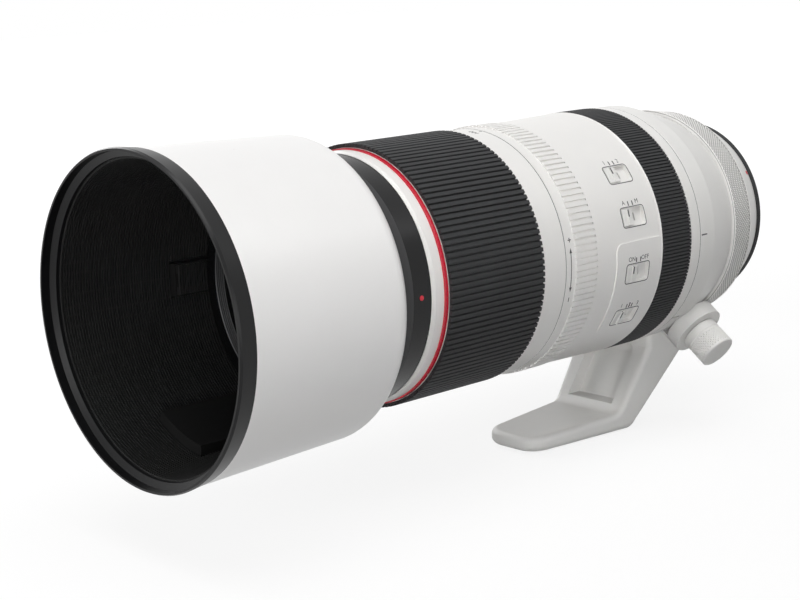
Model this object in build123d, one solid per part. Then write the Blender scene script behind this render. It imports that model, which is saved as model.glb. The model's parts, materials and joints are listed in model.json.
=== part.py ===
from build123d import *
import os
from math import cos, degrees, radians, sin, sqrt

# A white telephoto zoom lens with its hood fitted, pulled in to its shortest length.
# Lengths are millimetres, angles degrees. The optical axis is X: the mount flange face is
# x = 0, +X runs out of the mount, and a station is the distance from that face towards
# the front, so x = -station. Angles round the lens start at the top and turn towards the
# switch side, -Y, so the foot is at half a turn.

# Lengths of the outer rings, from the mount to the front
mount_flange_len = 2.0
rear_barrel_len = 10.6
control_ring_len = 12.3
collar_len = 24.9
cover_ring_len = 5.0
focus_ring_len = 17.4
switch_housing_len = 32.6
torque_ring_len = 15.2
zoom_band_len = 10.9
zoom_rubber_len = 43.0
red_ring_len = 1.4
name_ring_len = 4.8
front_ring_len = 25.1
ring_gap = 0.3
full_turn = 360
half_turn = 180

# Running, bonding and cutting allowances
nest_gap = 0.35
bond_gap = 0.05
overrun = 1.0

# Nested tubes, from the inside out
guide_bore_r = 34.6
guide_wall = 1.2
cam_wall = 1.2
inner_barrel_wall = 1.6
zoom_key_thick = 1.0
main_wall = 1.1
zoom_sleeve_wall = 0.8
zoom_rubber_thick = 1.3
zoom_band_wall = 1.6
neck_r = 39.0
neck_wall = 1.5
neck_flange_len = 2.0
web_len = 1.6

# Zoom: how far the front comes out, and over what turn of the ring
zoom_angle = 75.0
barrel_travel = 84.0
variator_travel = 30.0
roller_r = 2.2
roller_play = 0.25
roller_count = 3
roller_margin = 5.0
variator_rest = 86.0
variator_roller_angle = 60.0
guide_slot_end_margin = 0.5
lip_len = 3.0
key_count = 2
key_width = 9.0
key_arm_len = 4.0
key_play = 0.8
key_foot_len = 3.4
guide_flange_len = 2.5

# Rubber and torque ring ribs
zoom_rib_count = 135
zoom_rib_depth = 0.9
focus_rib_count = 215
focus_rib_depth = 0.7
torque_rib_count = 130
torque_rib_depth = 0.6
rib_land_share = 0.62
rib_foot_share = 0.78

# Focus ring and cover ring
focus_sleeve_wall = 1.3
focus_rubber_thick = 1.4
focus_lip_len = 1.1
cover_thick = 2.9

# Torque ring
torque_wall = 1.7
torque_rib_len = 10.7

# Switch housing, its raised panel and its four switches
housing_wall_rear = 2.9
housing_wall_front = 2.2
panel_raise = 0.5
panel_len = 23.0
panel_start_angle = 85.0
panel_end_angle = 131.0
panel_round = 3.0
window_back = 12.0
window_len = 11.8
window_width = 6.4
window_depth = 1.5
window_round = 1.0
lever_len = 5.2
lever_play = 0.2
lever_float = 0.15
lever_proud = 0.25
lever_stem_len = 2.4
lever_stem_width = 2.4
lever_ridge = 0.35
two_step_travel = 3.6
three_step_travel = 5.2
lever_front_play = 0.4
limiter_angle = 53.5
focus_mode_angle = 74.0
stabiliser_angle = 99.5
stabiliser_mode_angle = 122.0

# Red and name rings, front ring and filter thread
name_thick = 3.3
red_thick = 3.8
name_bevel = 1.2
front_ring_thick = 2.75
filter_thread_r = 38.5
filter_thread_len = 4.5
front_lip_len = 2.6
front_lip_r = 36.8
bayonet_groove_len = 4.2
bayonet_groove_depth = 1.3
bayonet_flange_raise = 0.2
bayonet_lug_count = 3
bayonet_lug_angle = 32.0
bayonet_entry_angle = 4.0
hood_twist = 45.0
front_band_len = 7.8
front_band_step = 0.25

# Hood
hood_overlap = 9.9
hood_len = 68.4
hood_rim_len = 6.3
hood_shoulder_rise = 6.0
hood_flare = 2.2
hood_rim_flare = 0.7
hood_shoulder_share = 0.95
hood_shell_wall = 1.4
hood_liner_wall = 1.0
hood_bore_play = 0.6
hood_collar_wall = 1.4
hood_seat_len = 6.2
hood_back_wall = 2.0
hood_rim_lip = 1.1
hood_rim_bevel = 0.8
hood_rim_step = 3.0
hood_rim_slope = 1.2
lock_angle = 270.0
lock_button_len = 13.0
lock_button_width = 9.0
lock_button_thick = 2.2
lock_button_round = 2.0
lock_button_travel = 1.2
lock_button_proud = 0.3
lock_block_len = 1.4
lock_block_width = 10.0
lock_button_offset = 1.5
lock_floor_depth = 2.2
door_angle = 200.0
door_len = 17.0
door_width = 17.0
door_thick = 1.4
door_travel = 13.5
door_offset = 4.3
door_play = 0.3
door_rail = 1.6
door_cover_len = 1.0
door_lug_len = 2.0
door_lug_proud = 0.8

# Front lens group
cell_wall = 1.9
cell_len = 16.0
front_lens_edge = 4.0
front_lens_front_sag = 4.6
front_lens_rear_sag = 1.6
front_lens_back = 4.2
doublet_edge = 3.2
doublet_front_sag = 2.6
doublet_rear_sag = 0.8
lens_step = 1.2
lens_seat_len = 1.2
retaining_ring_len = 1.8
retaining_slot = 1.6

# Variator, focus and stabiliser groups
variator_frame_len = 12.0
variator_lens_r = 27.0
variator_lens_edge = 6.0
variator_lens_sag = 2.4
focus_ahead = 4.2
focus_frame_len = 7.0
focus_travel = 7.0
focus_frame_r = 30.6
focus_lens_r = 22.0
focus_lens_edge = 3.6
focus_lens_sag = 1.6
rod_r = 1.2
rod_orbit_r = 27.6
rod_play = 0.05
rod_len = 20.0
motor_angle = 45.0
motor_width = 9.0
motor_len = 15.0
stab_ahead = 2.8
stab_plate_thick = 1.8
stab_gap = 0.3
stab_lens_r = 15.0
stab_lens_sag = 1.8
stab_carrier_r = 24.0
stab_slider_r = 31.0
stab_slider_bore_r = 18.5
stab_shift = 0.9
stab_pin_r = 0.9
stab_pin_play = 0.1
stab_pin_inset = 2.4
stab_magnet_len = 8.0
stab_magnet_width = 5.0
stab_magnet_thick = 1.2

# Iris
iris_ahead = 1.6
iris_bore_r = 15.0
iris_plate_thick = 0.8
iris_wall = 1.0
iris_depth = 4.8
blade_count = 9
blade_thick = 0.2
blade_pitch = 0.32
blade_inner_r = 16.0
blade_outer_r = 24.0
blade_pivot_r = 26.5
blade_pin_r = 0.6
blade_sweep = 100.0
blade_ear_r = 1.6

# Rear group and electronics
rear_cell_r = 22.6
rear_cell_wall = 3.0
rear_cell_len = 17.0
rear_lens_edge = 3.0
rear_lens_sag = 2.2
rear_plate_len = 1.6
board_bore_r = 25.0
board_r = 34.0
board_thick = 1.0
board_open_angle = 60.0
chip_size = 7.0
chip_thick = 1.2
chip_orbit_r = 29.5
chip_count = 5

# Rear barrel, control ring and mount
control_front_wall = 5.1
control_rear_wall = 3.4
control_bevel = 0.8
control_bore_r = 36.7
rear_barrel_front_r = 39.2
rear_barrel_rear_r = 35.4
rear_barrel_wall = 1.8
rear_barrel_round = 1.6
mount_r = 33.0
mount_spigot_r = 25.8
mount_bore_r = 23.6
mount_spigot_len = 5.4
mount_lug_r = 27.8
mount_lug_len = 1.4
mount_lug_count = 3
mount_lug_angle = 52.0
mount_screw_orbit_r = 29.6
mount_screw_count = 4
mount_screw_r = 0.85
mount_screw_head_r = 1.7
mount_screw_head_len = 1.0
mount_screw_len = 5.0
mount_screw_angle = 36.0
gasket_thick = 1.85
mount_boss_len = 6.0
index_dot_r = 1.1
contact_angle = 180.0
contact_count = 12
contact_pitch_angle = 6.6
contact_r = 0.75
contact_proud = 0.4
contact_block_r = 23.4
contact_block_wall = 3.6
contact_block_len = 3.4
baffle_thick = 1.0
baffle_open_len = 26.0
baffle_open_height = 19.0

# Tripod collar, foot and clamp knob
collar_wall = 5.6
collar_front_bevel = 0.6
collar_front_drop = 0.4
collar_land_len = 7.8
collar_rear_wall = 0.9
foot_height = 76.0
foot_tip = 107.0
foot_plate_thick = 7.0
foot_tip_thick = 5.6
foot_tip_half_width = 12.6
foot_tip_round = 9.0
leg_rear_bottom = 56.0
leg_rear_top_height = 46.8
leg_top_height = 38.0
leg_rear_half_width = 20.0
leg_front_inset = 3.4
leg_ring_gap = 1.0
leg_front_bottom = 63.0
leg_round = 5.0
foot_edge_round = 2.4
recess_half_width = 11.0
recess_depth = 6.5
recess_round = 2.6
split_width = 0.9
split_near = 6.0
split_far = 18.0
split_low = 28.0
clamp_angle = 127.0
clamp_station = 34.0
clamp_offset = 13.0
clamp_low = 43.4
clamp_lug_len = 5.6
clamp_lug_r = 10.4
knob_r = 7.2
knob_len = 11.4
knob_bevel = 0.6
knob_gap = 0.25
knob_groove_count = 48
knob_groove_depth = 0.35
screw_r = 2.0
screw_play = 0.1
screw_depth = 3.6
bush_r = 5.4
bush_len = 6.0
socket_r = 3.175
socket_station = 84.0

# Stations worked out along the outside
rear_barrel_front = mount_flange_len + rear_barrel_len
control_rear = rear_barrel_front + ring_gap
control_front = control_rear + control_ring_len
collar_rear = control_front + ring_gap
collar_front = collar_rear + collar_len
cover_rear = collar_front + ring_gap
cover_front = cover_rear + cover_ring_len
focus_rear = cover_front + ring_gap
focus_front = focus_rear + focus_ring_len
housing_rear = focus_front + ring_gap
housing_front = housing_rear + switch_housing_len
torque_rear = housing_front + ring_gap
torque_front = torque_rear + torque_ring_len
zoom_rear = torque_front + ring_gap
zoom_rubber_rear = zoom_rear + zoom_band_len
zoom_front = zoom_rubber_rear + zoom_rubber_len
red_rear = zoom_front + ring_gap
name_rear = red_rear + red_ring_len
front_ring_rear = name_rear + name_ring_len
lens_front = front_ring_rear + front_ring_len
hood_rear = lens_front - hood_overlap
hood_front = hood_rear + hood_len
hood_rim_rear = hood_front - hood_rim_len

# Radii worked out from the inside out
guide_r = guide_bore_r + guide_wall
cam_bore_r = guide_r + nest_gap
cam_r = cam_bore_r + cam_wall
inner_bore_r = cam_r + nest_gap
inner_r = inner_bore_r + inner_barrel_wall
key_bore_r = inner_r + nest_gap
key_r = key_bore_r + zoom_key_thick
main_bore_r = key_r + nest_gap
main_r = main_bore_r + main_wall
sleeve_bore_r = main_r + nest_gap
zoom_sleeve_r = sleeve_bore_r + zoom_sleeve_wall
zoom_rubber_r = zoom_sleeve_r + bond_gap + zoom_rubber_thick
zoom_band_r = sleeve_bore_r + zoom_band_wall
focus_sleeve_r = sleeve_bore_r + focus_sleeve_wall
focus_rubber_r = focus_sleeve_r + bond_gap + focus_rubber_thick
cover_r = main_r + bond_gap + cover_thick
torque_band_r = sleeve_bore_r + torque_wall
torque_r = torque_band_r + torque_rib_depth
housing_bore_r = main_r + bond_gap
housing_rear_r = housing_bore_r + housing_wall_rear
housing_front_r = housing_bore_r + housing_wall_front
name_bore_r = inner_r + bond_gap
name_r = name_bore_r + name_thick
red_r = name_bore_r + red_thick
front_ring_r = name_bore_r + front_ring_thick
hood_bore_r = front_ring_r + hood_bore_play
collar_bore_r = neck_r + nest_gap
collar_r = collar_bore_r + collar_wall
collar_rear_r = collar_bore_r + collar_rear_wall
control_core_r = control_bore_r - nest_gap

# Stations worked out inside
guide_rear = cover_rear + web_len + bond_gap
guide_body_rear = guide_rear + guide_flange_len
cam_rear = guide_body_rear + key_arm_len
inner_rear = cam_rear + key_foot_len + key_play + roller_play
roller_station = inner_rear + roller_margin
roller_out = roller_station + barrel_travel
guide_front = roller_out + roller_margin + roller_r
cam_front = guide_front
main_front = zoom_front - ring_gap
inner_front = lens_front - filter_thread_len - front_lip_len
key_slot_rear = zoom_rear + ring_gap
lens_radius = inner_bore_r - bond_gap - cell_wall
iris_rear = guide_rear + iris_ahead
iris_front = iris_rear + iris_depth
iris_r = guide_bore_r - bond_gap
focus_rest = iris_front + focus_ahead
neck_bore_r = neck_r - neck_wall
core_bore_r = control_core_r - rear_barrel_wall
contact_orbit = contact_block_r - contact_block_wall / 2
leg_front_top = collar_front - leg_front_inset
leg_clear_r = cover_r + leg_ring_gap
stab_frame_rear = collar_rear - ring_gap + neck_flange_len + stab_ahead
stab_frame_front = stab_frame_rear + stab_plate_thick
stab_slider_rear = stab_frame_front + stab_gap
stab_slider_front = stab_slider_rear + stab_plate_thick
stab_carrier_rear = stab_slider_front + stab_gap
stab_carrier_front = stab_carrier_rear + stab_plate_thick
stab_frame_pin_orbit = stab_slider_r - stab_pin_inset
stab_slider_pin_orbit = stab_carrier_r - stab_pin_inset

# Places on the hood and on the switch housing
hood_shoulder_round = hood_shoulder_rise * hood_shoulder_share
lock_station = hood_rear + hood_shoulder_round + lock_button_offset + lock_button_len / 2
door_station = hood_rear + hood_seat_len + door_offset + door_len / 2
door_rear = door_station - door_len / 2 - door_cover_len
door_front = door_station + door_len / 2 + door_cover_len
hood_mouth_r = hood_bore_r + hood_collar_wall
hood_shell_rear_r = hood_mouth_r + hood_shoulder_rise
hood_shell_front_r = hood_shell_rear_r + hood_flare
hood_front_r = hood_shell_front_r + hood_rim_flare
liner_outside = hood_shell_wall + bond_gap
liner_inside = liner_outside + hood_liner_wall
bayonet_groove_front = lens_front - bayonet_groove_len - bayonet_flange_raise
bayonet_groove_rear = bayonet_groove_front - bayonet_groove_len
bayonet_flange_r = front_ring_r + bayonet_flange_raise
bayonet_groove_r = front_ring_r - bayonet_groove_depth
switch_station = housing_rear + window_back
on_panel = {"limiter_lever": 0, "focus_mode_lever": 0, "stabiliser_lever": panel_raise,
            "stabiliser_mode_lever": panel_raise}
switch_angles = {"limiter_lever": limiter_angle, "focus_mode_lever": focus_mode_angle,
                 "stabiliser_lever": stabiliser_angle, "stabiliser_mode_lever": stabiliser_mode_angle}
switch_travels = {"limiter_lever": two_step_travel, "focus_mode_lever": two_step_travel,
                  "stabiliser_lever": two_step_travel, "stabiliser_mode_lever": three_step_travel}

# Angles worked out
zoom_helix_pitch = barrel_travel * full_turn / zoom_angle
variator_helix_pitch = variator_travel * full_turn / zoom_angle
roller_step = full_turn / roller_count
blade_step = full_turn / blade_count


def revolved(outline):
    # Turns a closed outline of (station, radius) points about the optical axis.
    points = [(-station, 0, radius) for station, radius in outline]
    return revolve(make_face(Polyline(*points, close=True)), axis=Axis.X, revolution_arc=full_turn)


def tube(rear, front, outer, bore):
    return revolved([(rear, bore), (rear, outer), (front, outer), (front, bore)])


def disc(rear, front, outer):
    return revolved([(rear, 0), (rear, outer), (front, outer), (front, 0)])


def sector(rear, front, outer, bore, start_angle, end_angle):
    # A piece of a tube between two angles round the lens.
    points = [(-rear, 0, bore), (-rear, 0, outer), (-front, 0, outer), (-front, 0, bore)]
    face = make_face(Polyline(*points, close=True))
    return Rot(start_angle, 0, 0) * revolve(face, axis=Axis.X, revolution_arc=end_angle - start_angle)


def round_place(station, angle, radius):
    # A place on the lens whose own Z points outwards and whose X runs towards the mount.
    return Rot(angle, 0, 0) * Pos(-station, 0, radius)


def radial_block(station, angle, length, width, low, high):
    # A block with its length along the axis, standing from one radius to another.
    place = round_place(station, angle, (low + high) / 2)
    return place * Box(length, width, high - low)


def radial_pin(station, angle, radius, low, high):
    return round_place(station, angle, (low + high) / 2) * Cylinder(radius, high - low)


def axial_pin(rear, front, angle, orbit, radius):
    place = round_place((rear + front) / 2, angle, orbit)
    return place * Rot(0, half_turn / 2, 0) * Cylinder(radius, front - rear)


def ribbed_tube(rear, front, root, tip, bore, count):
    # A tube with ribs along it: each rib has a land, two flanks and a groove beside it.
    step = full_turn / count
    half_land = step * rib_land_share / 2
    half_foot = step * rib_foot_share / 2
    points = []
    for index in range(count):
        middle = index * step
        for radius, turn in ((root, -half_foot), (tip, -half_land), (tip, half_land), (root, half_foot)):
            angle = radians(middle + turn)
            points.append((-rear, -radius * sin(angle), radius * cos(angle)))
    solid = extrude(make_face(Polyline(*points, close=True)), amount=front - rear, dir=(-1, 0, 0))
    return solid - tube(rear - overrun, front + overrun, bore, 0)


def lens_element(middle, radius, edge, front_sag, rear_sag):
    # Glass between two arcs; a sag is how far forward of its rim that face's middle stands.
    rim_front, rim_rear = middle + edge / 2, middle - edge / 2

    def surface(rim, sag):
        # The half-way point of an arc that leaves the rim and crosses the axis square.
        ball = (radius * radius + sag * sag) / (2 * abs(sag))
        half = radius / 2
        drop = ball - sqrt(ball * ball - half * half)
        return rim + sag - drop * sag / abs(sag)

    half = radius / 2
    front_arc = ThreePointArc((-rim_front, 0, radius), (-surface(rim_front, front_sag), 0, half),
                              (-rim_front - front_sag, 0, 0))
    rear_arc = ThreePointArc((-rim_rear, 0, radius), (-surface(rim_rear, rear_sag), 0, half),
                             (-rim_rear - rear_sag, 0, 0))
    edge_line = Line((-rim_front, 0, radius), (-rim_rear, 0, radius))
    axis_line = Line((-rim_front - front_sag, 0, 0), (-rim_rear - rear_sag, 0, 0))
    face = make_face(Curve() + [front_arc, edge_line, rear_arc, axis_line])
    return revolve(face, axis=Axis.X, revolution_arc=full_turn)


# Zoom mechanism

def helical_slot(pitch, start_station, start_angle, travel, low, high):
    # The track of a roller in the cam tube: it goes forward as the tube turns away from it.
    radius = (low + high) / 2
    half_width = roller_r + roller_play
    turn = travel / pitch * full_turn
    track = Helix(pitch=pitch, height=travel, radius=radius)
    track = Rot(0, -half_turn / 2, 0) * track
    start_direction = track % 0
    start = Plane(track @ 0, x_dir=(0, 0, 1), z_dir=start_direction)
    profile = start * Rectangle(high - low, 2 * half_width)
    swept = sweep(profile, path=track, is_frenet=True)
    swept = Pos(-start_station, 0, 0) * Rot(start_angle, 0, 0) * swept
    ends = [radial_pin(start_station, start_angle, half_width + bond_gap, low, high),
            radial_pin(start_station + travel, start_angle - turn, half_width + bond_gap, low, high)]
    return [swept] + ends


def cam_tube():
    solid = tube(cam_rear, cam_front, cam_r, cam_bore_r)
    low, high = cam_bore_r - overrun, cam_r + overrun
    for index in range(roller_count):
        angle = index * roller_step
        for cut in helical_slot(zoom_helix_pitch, roller_station, angle, barrel_travel, low, high):
            solid = solid - cut
        for cut in helical_slot(variator_helix_pitch, variator_rest, angle + variator_roller_angle,
                                variator_travel, low, high):
            solid = solid - cut
    return solid


def guide_tube():
    solid = tube(guide_body_rear, guide_front, guide_r, guide_bore_r)
    solid = solid + tube(guide_rear, guide_body_rear, main_bore_r - bond_gap, guide_bore_r)
    low, high = guide_bore_r - overrun, guide_r + overrun
    width = 2 * (roller_r + roller_play)
    for index in range(roller_count):
        second = index * roller_step + variator_roller_angle
        for angle, rest, travel in ((index * roller_step, roller_station, barrel_travel),
                                    (second, variator_rest, variator_travel)):
            middle = rest + travel / 2
            length = travel + 2 * guide_slot_end_margin
            solid = solid - radial_block(middle, angle, length, width, low, high)
            solid = solid - radial_pin(middle - length / 2, angle, width / 2, low, high)
            solid = solid - radial_pin(middle + length / 2, angle, width / 2, low, high)
    return solid


def inner_barrel():
    solid = tube(inner_rear, inner_front, inner_r, inner_bore_r)
    for index in range(roller_count):
        solid = solid - radial_pin(roller_station, index * roller_step, roller_r + bond_gap,
                                   inner_bore_r - overrun, inner_r + overrun)
    return solid


def barrel_rollers():
    # One roller in each third of the barrel, reaching through the cam into the guide.
    low, high = guide_bore_r + roller_play, inner_r - bond_gap
    return [radial_pin(roller_station, index * roller_step, roller_r, low, high)
            for index in range(roller_count)]


def main_barrel():
    # The fixed body: its wide tube, a web down to the neck, and the neck's own rear flange.
    rear = collar_rear - ring_gap
    body = tube(cover_rear, main_front, main_r, main_bore_r)
    web = tube(cover_rear, cover_rear + web_len, main_r, neck_bore_r)
    neck = tube(rear, cover_rear + web_len, neck_r, neck_bore_r)
    flange = tube(rear, rear + neck_flange_len, neck_r, core_bore_r)
    lip = tube(main_front - lip_len, main_front, main_r, inner_r + nest_gap)
    solid = body + web + neck + flange + lip
    low, high = main_bore_r - overrun, main_r + overrun
    half = degrees((key_width / 2 + key_play) / main_r)
    for index in range(key_count):
        angle = index * full_turn / key_count
        solid = solid - sector(key_slot_rear - key_play, key_slot_rear + key_arm_len + key_play, high, low,
                               angle - half, angle + zoom_angle + half)
    return solid


def zoom_keys():
    # Two long keys carry the turn of the zoom ring back to the rear of the cam tube.
    low, high = key_bore_r, key_r
    half = degrees(key_width / 2 / key_r)
    keys = []
    for index in range(key_count):
        angle = index * full_turn / key_count
        bar = sector(cam_rear, key_slot_rear + key_arm_len, high, low, angle - half, angle + half)
        arm = sector(key_slot_rear, key_slot_rear + key_arm_len, sleeve_bore_r - bond_gap, low,
                     angle - half, angle + half)
        foot = sector(cam_rear, cam_rear + key_foot_len, high, cam_r + bond_gap, angle - half, angle + half)
        keys.append(bar + arm + foot)
    return keys


def zoom_ring():
    sleeve = tube(zoom_rear, zoom_front, zoom_sleeve_r, sleeve_bore_r)
    band = tube(zoom_rear, zoom_rubber_rear - bond_gap, zoom_band_r, sleeve_bore_r)
    return sleeve + band


def zoom_ring_rubber():
    root = zoom_rubber_r - zoom_rib_depth
    return ribbed_tube(zoom_rubber_rear, zoom_front, root, zoom_rubber_r, zoom_sleeve_r + bond_gap,
                       zoom_rib_count)


def variator_frame():
    outer = guide_bore_r - nest_gap
    rear, front = variator_rest - variator_frame_len / 2, variator_rest + variator_frame_len / 2
    bore = variator_lens_r + bond_gap
    lip = bore - lens_step
    solid = revolved([(rear, lip), (rear, outer), (front, outer), (front, bore),
                      (rear + lens_seat_len, bore), (rear + lens_seat_len, lip)])
    for index in range(roller_count):
        angle = index * roller_step + variator_roller_angle
        solid = solid + radial_pin(variator_rest, angle, roller_r, outer - overrun, cam_r - bond_gap)
    return solid


def variator_lens():
    middle = variator_rest - variator_frame_len / 2 + lens_seat_len + bond_gap + variator_lens_edge / 2
    return lens_element(middle, variator_lens_r, variator_lens_edge, -variator_lens_sag, variator_lens_sag)


# Front of the moving barrel

def red_ring():
    return tube(red_rear, name_rear, red_r, name_bore_r)


def name_ring():
    return revolved([(name_rear, name_bore_r), (name_rear, name_r), (front_ring_rear - name_bevel, name_r),
                     (front_ring_rear, name_r - name_bevel / 2), (front_ring_rear, name_bore_r)])


def front_ring():
    band_front = front_ring_rear + front_band_len
    low_r = front_ring_r - front_band_step
    lip_rear = inner_front + bond_gap
    lip_front = lens_front - filter_thread_len
    solid = revolved([(front_ring_rear, name_bore_r), (front_ring_rear, low_r), (band_front, low_r),
                      (band_front, front_ring_r), (bayonet_groove_rear, front_ring_r),
                      (bayonet_groove_rear, bayonet_groove_r), (bayonet_groove_front, bayonet_groove_r),
                      (bayonet_groove_front, bayonet_flange_r), (lens_front, bayonet_flange_r),
                      (lens_front, filter_thread_r), (lip_front, filter_thread_r), (lip_front, front_lip_r),
                      (lip_rear, front_lip_r), (lip_rear, name_bore_r)])
    rear, front = bayonet_groove_front - ring_gap, lens_front + overrun
    low, high = bayonet_groove_r + bond_gap, bayonet_flange_r + overrun
    half = bayonet_lug_angle / 2 + bayonet_entry_angle
    for index in range(bayonet_lug_count):
        angle = index * full_turn / bayonet_lug_count - hood_twist
        solid = solid - sector(rear, front, high, low, angle - half, angle + half)
    return solid


def front_lens_cell():
    outer = inner_bore_r - bond_gap
    front = inner_front - bond_gap
    rear = front - cell_len
    seat = front - front_lens_back - front_lens_edge - bond_gap
    seat_bore = lens_radius + bond_gap
    doublet_bore = seat_bore - lens_step
    lip_rear = rear + doublet_edge + ring_gap
    lip_bore = doublet_bore - lens_step
    return revolved([(rear, doublet_bore), (rear, outer), (front, outer), (front, seat_bore),
                     (seat, seat_bore), (seat, lip_bore), (lip_rear, lip_bore), (lip_rear, doublet_bore)])


def front_lens():
    middle = inner_front - bond_gap - front_lens_back - front_lens_edge / 2
    return lens_element(middle, lens_radius, front_lens_edge, front_lens_front_sag - front_lens_rear_sag,
                        front_lens_rear_sag)


def second_lens():
    middle = inner_front - bond_gap - cell_len + doublet_edge / 2 - bond_gap
    return lens_element(middle, lens_radius - lens_step, doublet_edge, doublet_front_sag, -doublet_rear_sag)


def lens_retaining_ring():
    rear = inner_front - front_lens_back + ring_gap
    front = rear + retaining_ring_len
    solid = tube(rear, front, lens_radius, lens_radius - lens_step)
    for angle in (0, half_turn):
        solid = solid - radial_block(front, angle, retaining_slot, retaining_slot,
                                     lens_radius - lens_step - overrun, lens_radius + overrun)
    return solid


# Hood

def hood_radius(station, offset):
    # The cone of the hood's outside at a station, less a wall.
    slope = (hood_shell_front_r - hood_shell_rear_r) / (hood_rim_rear - hood_rear)
    return hood_shell_rear_r + slope * (station - hood_rear) - offset


def liner_radius(station):
    # The inside of the liner, which follows the cone of the shell.
    return hood_radius(station, liner_inside)


def hood_openings():
    # The openings for the lock button and the filter door, through shell and liner.
    high = hood_front_r + overrun
    button_low = liner_radius(lock_station) - lock_floor_depth
    button = radial_block(lock_station, lock_angle, lock_button_len + 2 * lever_play,
                          lock_button_width + 2 * lever_play, button_low, high)
    window = radial_block(door_station, door_angle, door_len, door_width, hood_bore_r, high)
    return button, window


def hood_shell():
    back = hood_rear + hood_back_wall
    corner = hood_shoulder_round / 2
    mouth = hood_mouth_r + bond_gap
    front_bore = hood_shell_front_r - hood_shell_wall
    outline = [(hood_rear, mouth), (hood_rear, hood_shell_rear_r), (hood_rim_rear, hood_shell_front_r),
               (hood_rim_rear, front_bore), (back + corner, hood_radius(back + corner, hood_shell_wall)),
               (back, hood_radius(back, hood_shell_wall) - corner), (back, mouth)]
    face = make_face(Polyline(*[(-station, 0, radius) for station, radius in outline], close=True))
    shoulder = [vertex for vertex in face.vertices()
                if near_point(vertex, hood_rear, hood_shell_rear_r)]
    solid = revolve(fillet(shoulder, hood_shoulder_round), axis=Axis.X, revolution_arc=full_turn)
    button, window = hood_openings()
    return solid - button - window


def hood_liner():
    rear = hood_rear + hood_back_wall + bond_gap
    corner = hood_shoulder_round / 2
    seat_front = hood_rear + hood_seat_len
    front = hood_rim_rear - bond_gap
    solid = revolved([(hood_rear, hood_bore_r), (hood_rear, hood_mouth_r), (rear, hood_mouth_r),
                      (rear, hood_radius(rear, liner_outside) - corner),
                      (rear + corner, hood_radius(rear + corner, liner_outside)),
                      (front, hood_radius(front, liner_outside)), (front, liner_radius(front)),
                      (seat_front, liner_radius(seat_front)), (seat_front, hood_bore_r)])
    high = liner_radius(lock_station) + bond_gap
    low = high - lock_floor_depth - hood_liner_wall
    floor = radial_block(lock_station, lock_angle, lock_button_len + 2 * hood_liner_wall,
                         lock_button_width + 2 * hood_liner_wall, low, high)
    block = radial_block(seat_front, lock_angle, 2 * lock_block_len, lock_block_width, hood_bore_r + bond_gap,
                         liner_radius(seat_front))
    button, window = hood_openings()
    solid = solid + floor + block - button - window
    rear, front = bayonet_groove_rear + ring_gap, bayonet_groove_front - ring_gap
    low, high = bayonet_groove_r + ring_gap, hood_bore_r + bond_gap
    half = bayonet_lug_angle / 2
    for index in range(bayonet_lug_count):
        angle = index * full_turn / bayonet_lug_count
        solid = solid + sector(rear, front, high, low, angle - half, angle + half)
    return solid


def hood_front_rim():
    rear, front = hood_rim_rear, hood_front
    bore = liner_radius(rear)
    inside = hood_front_r - hood_rim_lip
    step = front - hood_rim_step
    return revolved([(rear, bore), (rear, hood_shell_front_r), (front - hood_rim_bevel, hood_front_r),
                     (front, hood_front_r - hood_rim_bevel / 2), (front, inside), (step, inside),
                     (step - hood_rim_slope, bore)])


def hood_lock_button():
    outer = hood_radius(lock_station, 0)
    low = outer - hood_shell_wall - hood_liner_wall
    place = round_place(lock_station, lock_angle, (low + outer) / 2)
    block = Box(lock_button_len, lock_button_width, outer + lock_button_proud - low)
    block = fillet(block.edges().filter_by(Axis.Z), lock_button_round)
    crown = disc(lock_station - lock_button_len, lock_station + lock_button_len, outer + lock_button_proud)
    return (place * Pos(0, 0, lock_button_proud / 2) * block) & crown


def hood_filter_door():
    # A curved panel that slides forwards under the liner, with a finger lug in the window.
    top = door_top()
    half = degrees((door_width / 2 + door_rail) / top)
    panel = sector(door_rear, door_front, top, top - door_thick, door_angle - half, door_angle + half)
    lug_station = door_station - door_len / 2 + door_play + door_lug_len / 2
    lug = radial_block(lug_station, door_angle, door_lug_len, door_width / 2, top - door_thick / 2,
                       hood_radius(lug_station, 0) - door_play)
    return panel + lug


def door_top():
    return liner_radius(door_rear) - door_play


def hood_door_guide():
    # The tray inside the hood that carries the door and closes over it when it is open.
    rear = hood_rear + hood_seat_len + bond_gap
    stop = door_front + door_travel + door_play
    front = stop + hood_liner_wall
    floor_top = door_top() - door_thick - door_play
    inside = degrees((door_width / 2 + door_rail + door_play) / floor_top)
    outside = inside + degrees(hood_liner_wall / floor_top)
    block = sector(rear, front, hood_front_r, floor_top - hood_liner_wall, door_angle - outside,
                   door_angle + outside)
    cone = revolved([(rear, 0), (rear, liner_radius(rear) - bond_gap),
                     (front, liner_radius(front) - bond_gap), (front, 0)])
    cavity = sector(rear - overrun, stop, hood_front_r, floor_top, door_angle - inside, door_angle + inside)
    return (block & cone) - cavity


# Torque ring, switch housing and levers

def torque_ring():
    # A plain band with raised bars round its rear part.
    band = tube(torque_rear, torque_front, torque_band_r, sleeve_bore_r)
    bars = ribbed_tube(torque_rear, torque_rear + torque_rib_len, torque_band_r - bond_gap, torque_r,
                       torque_band_r - torque_rib_depth, torque_rib_count)
    return band + bars


def housing_radius(station):
    share = (station - housing_rear) / (housing_front - housing_rear)
    return housing_rear_r + (housing_front_r - housing_rear_r) * share


def window_top(name):
    return housing_radius(switch_station) + on_panel[name]


def lever_station(name):
    return switch_station + window_len / 2 - lever_front_play - lever_len / 2


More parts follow.
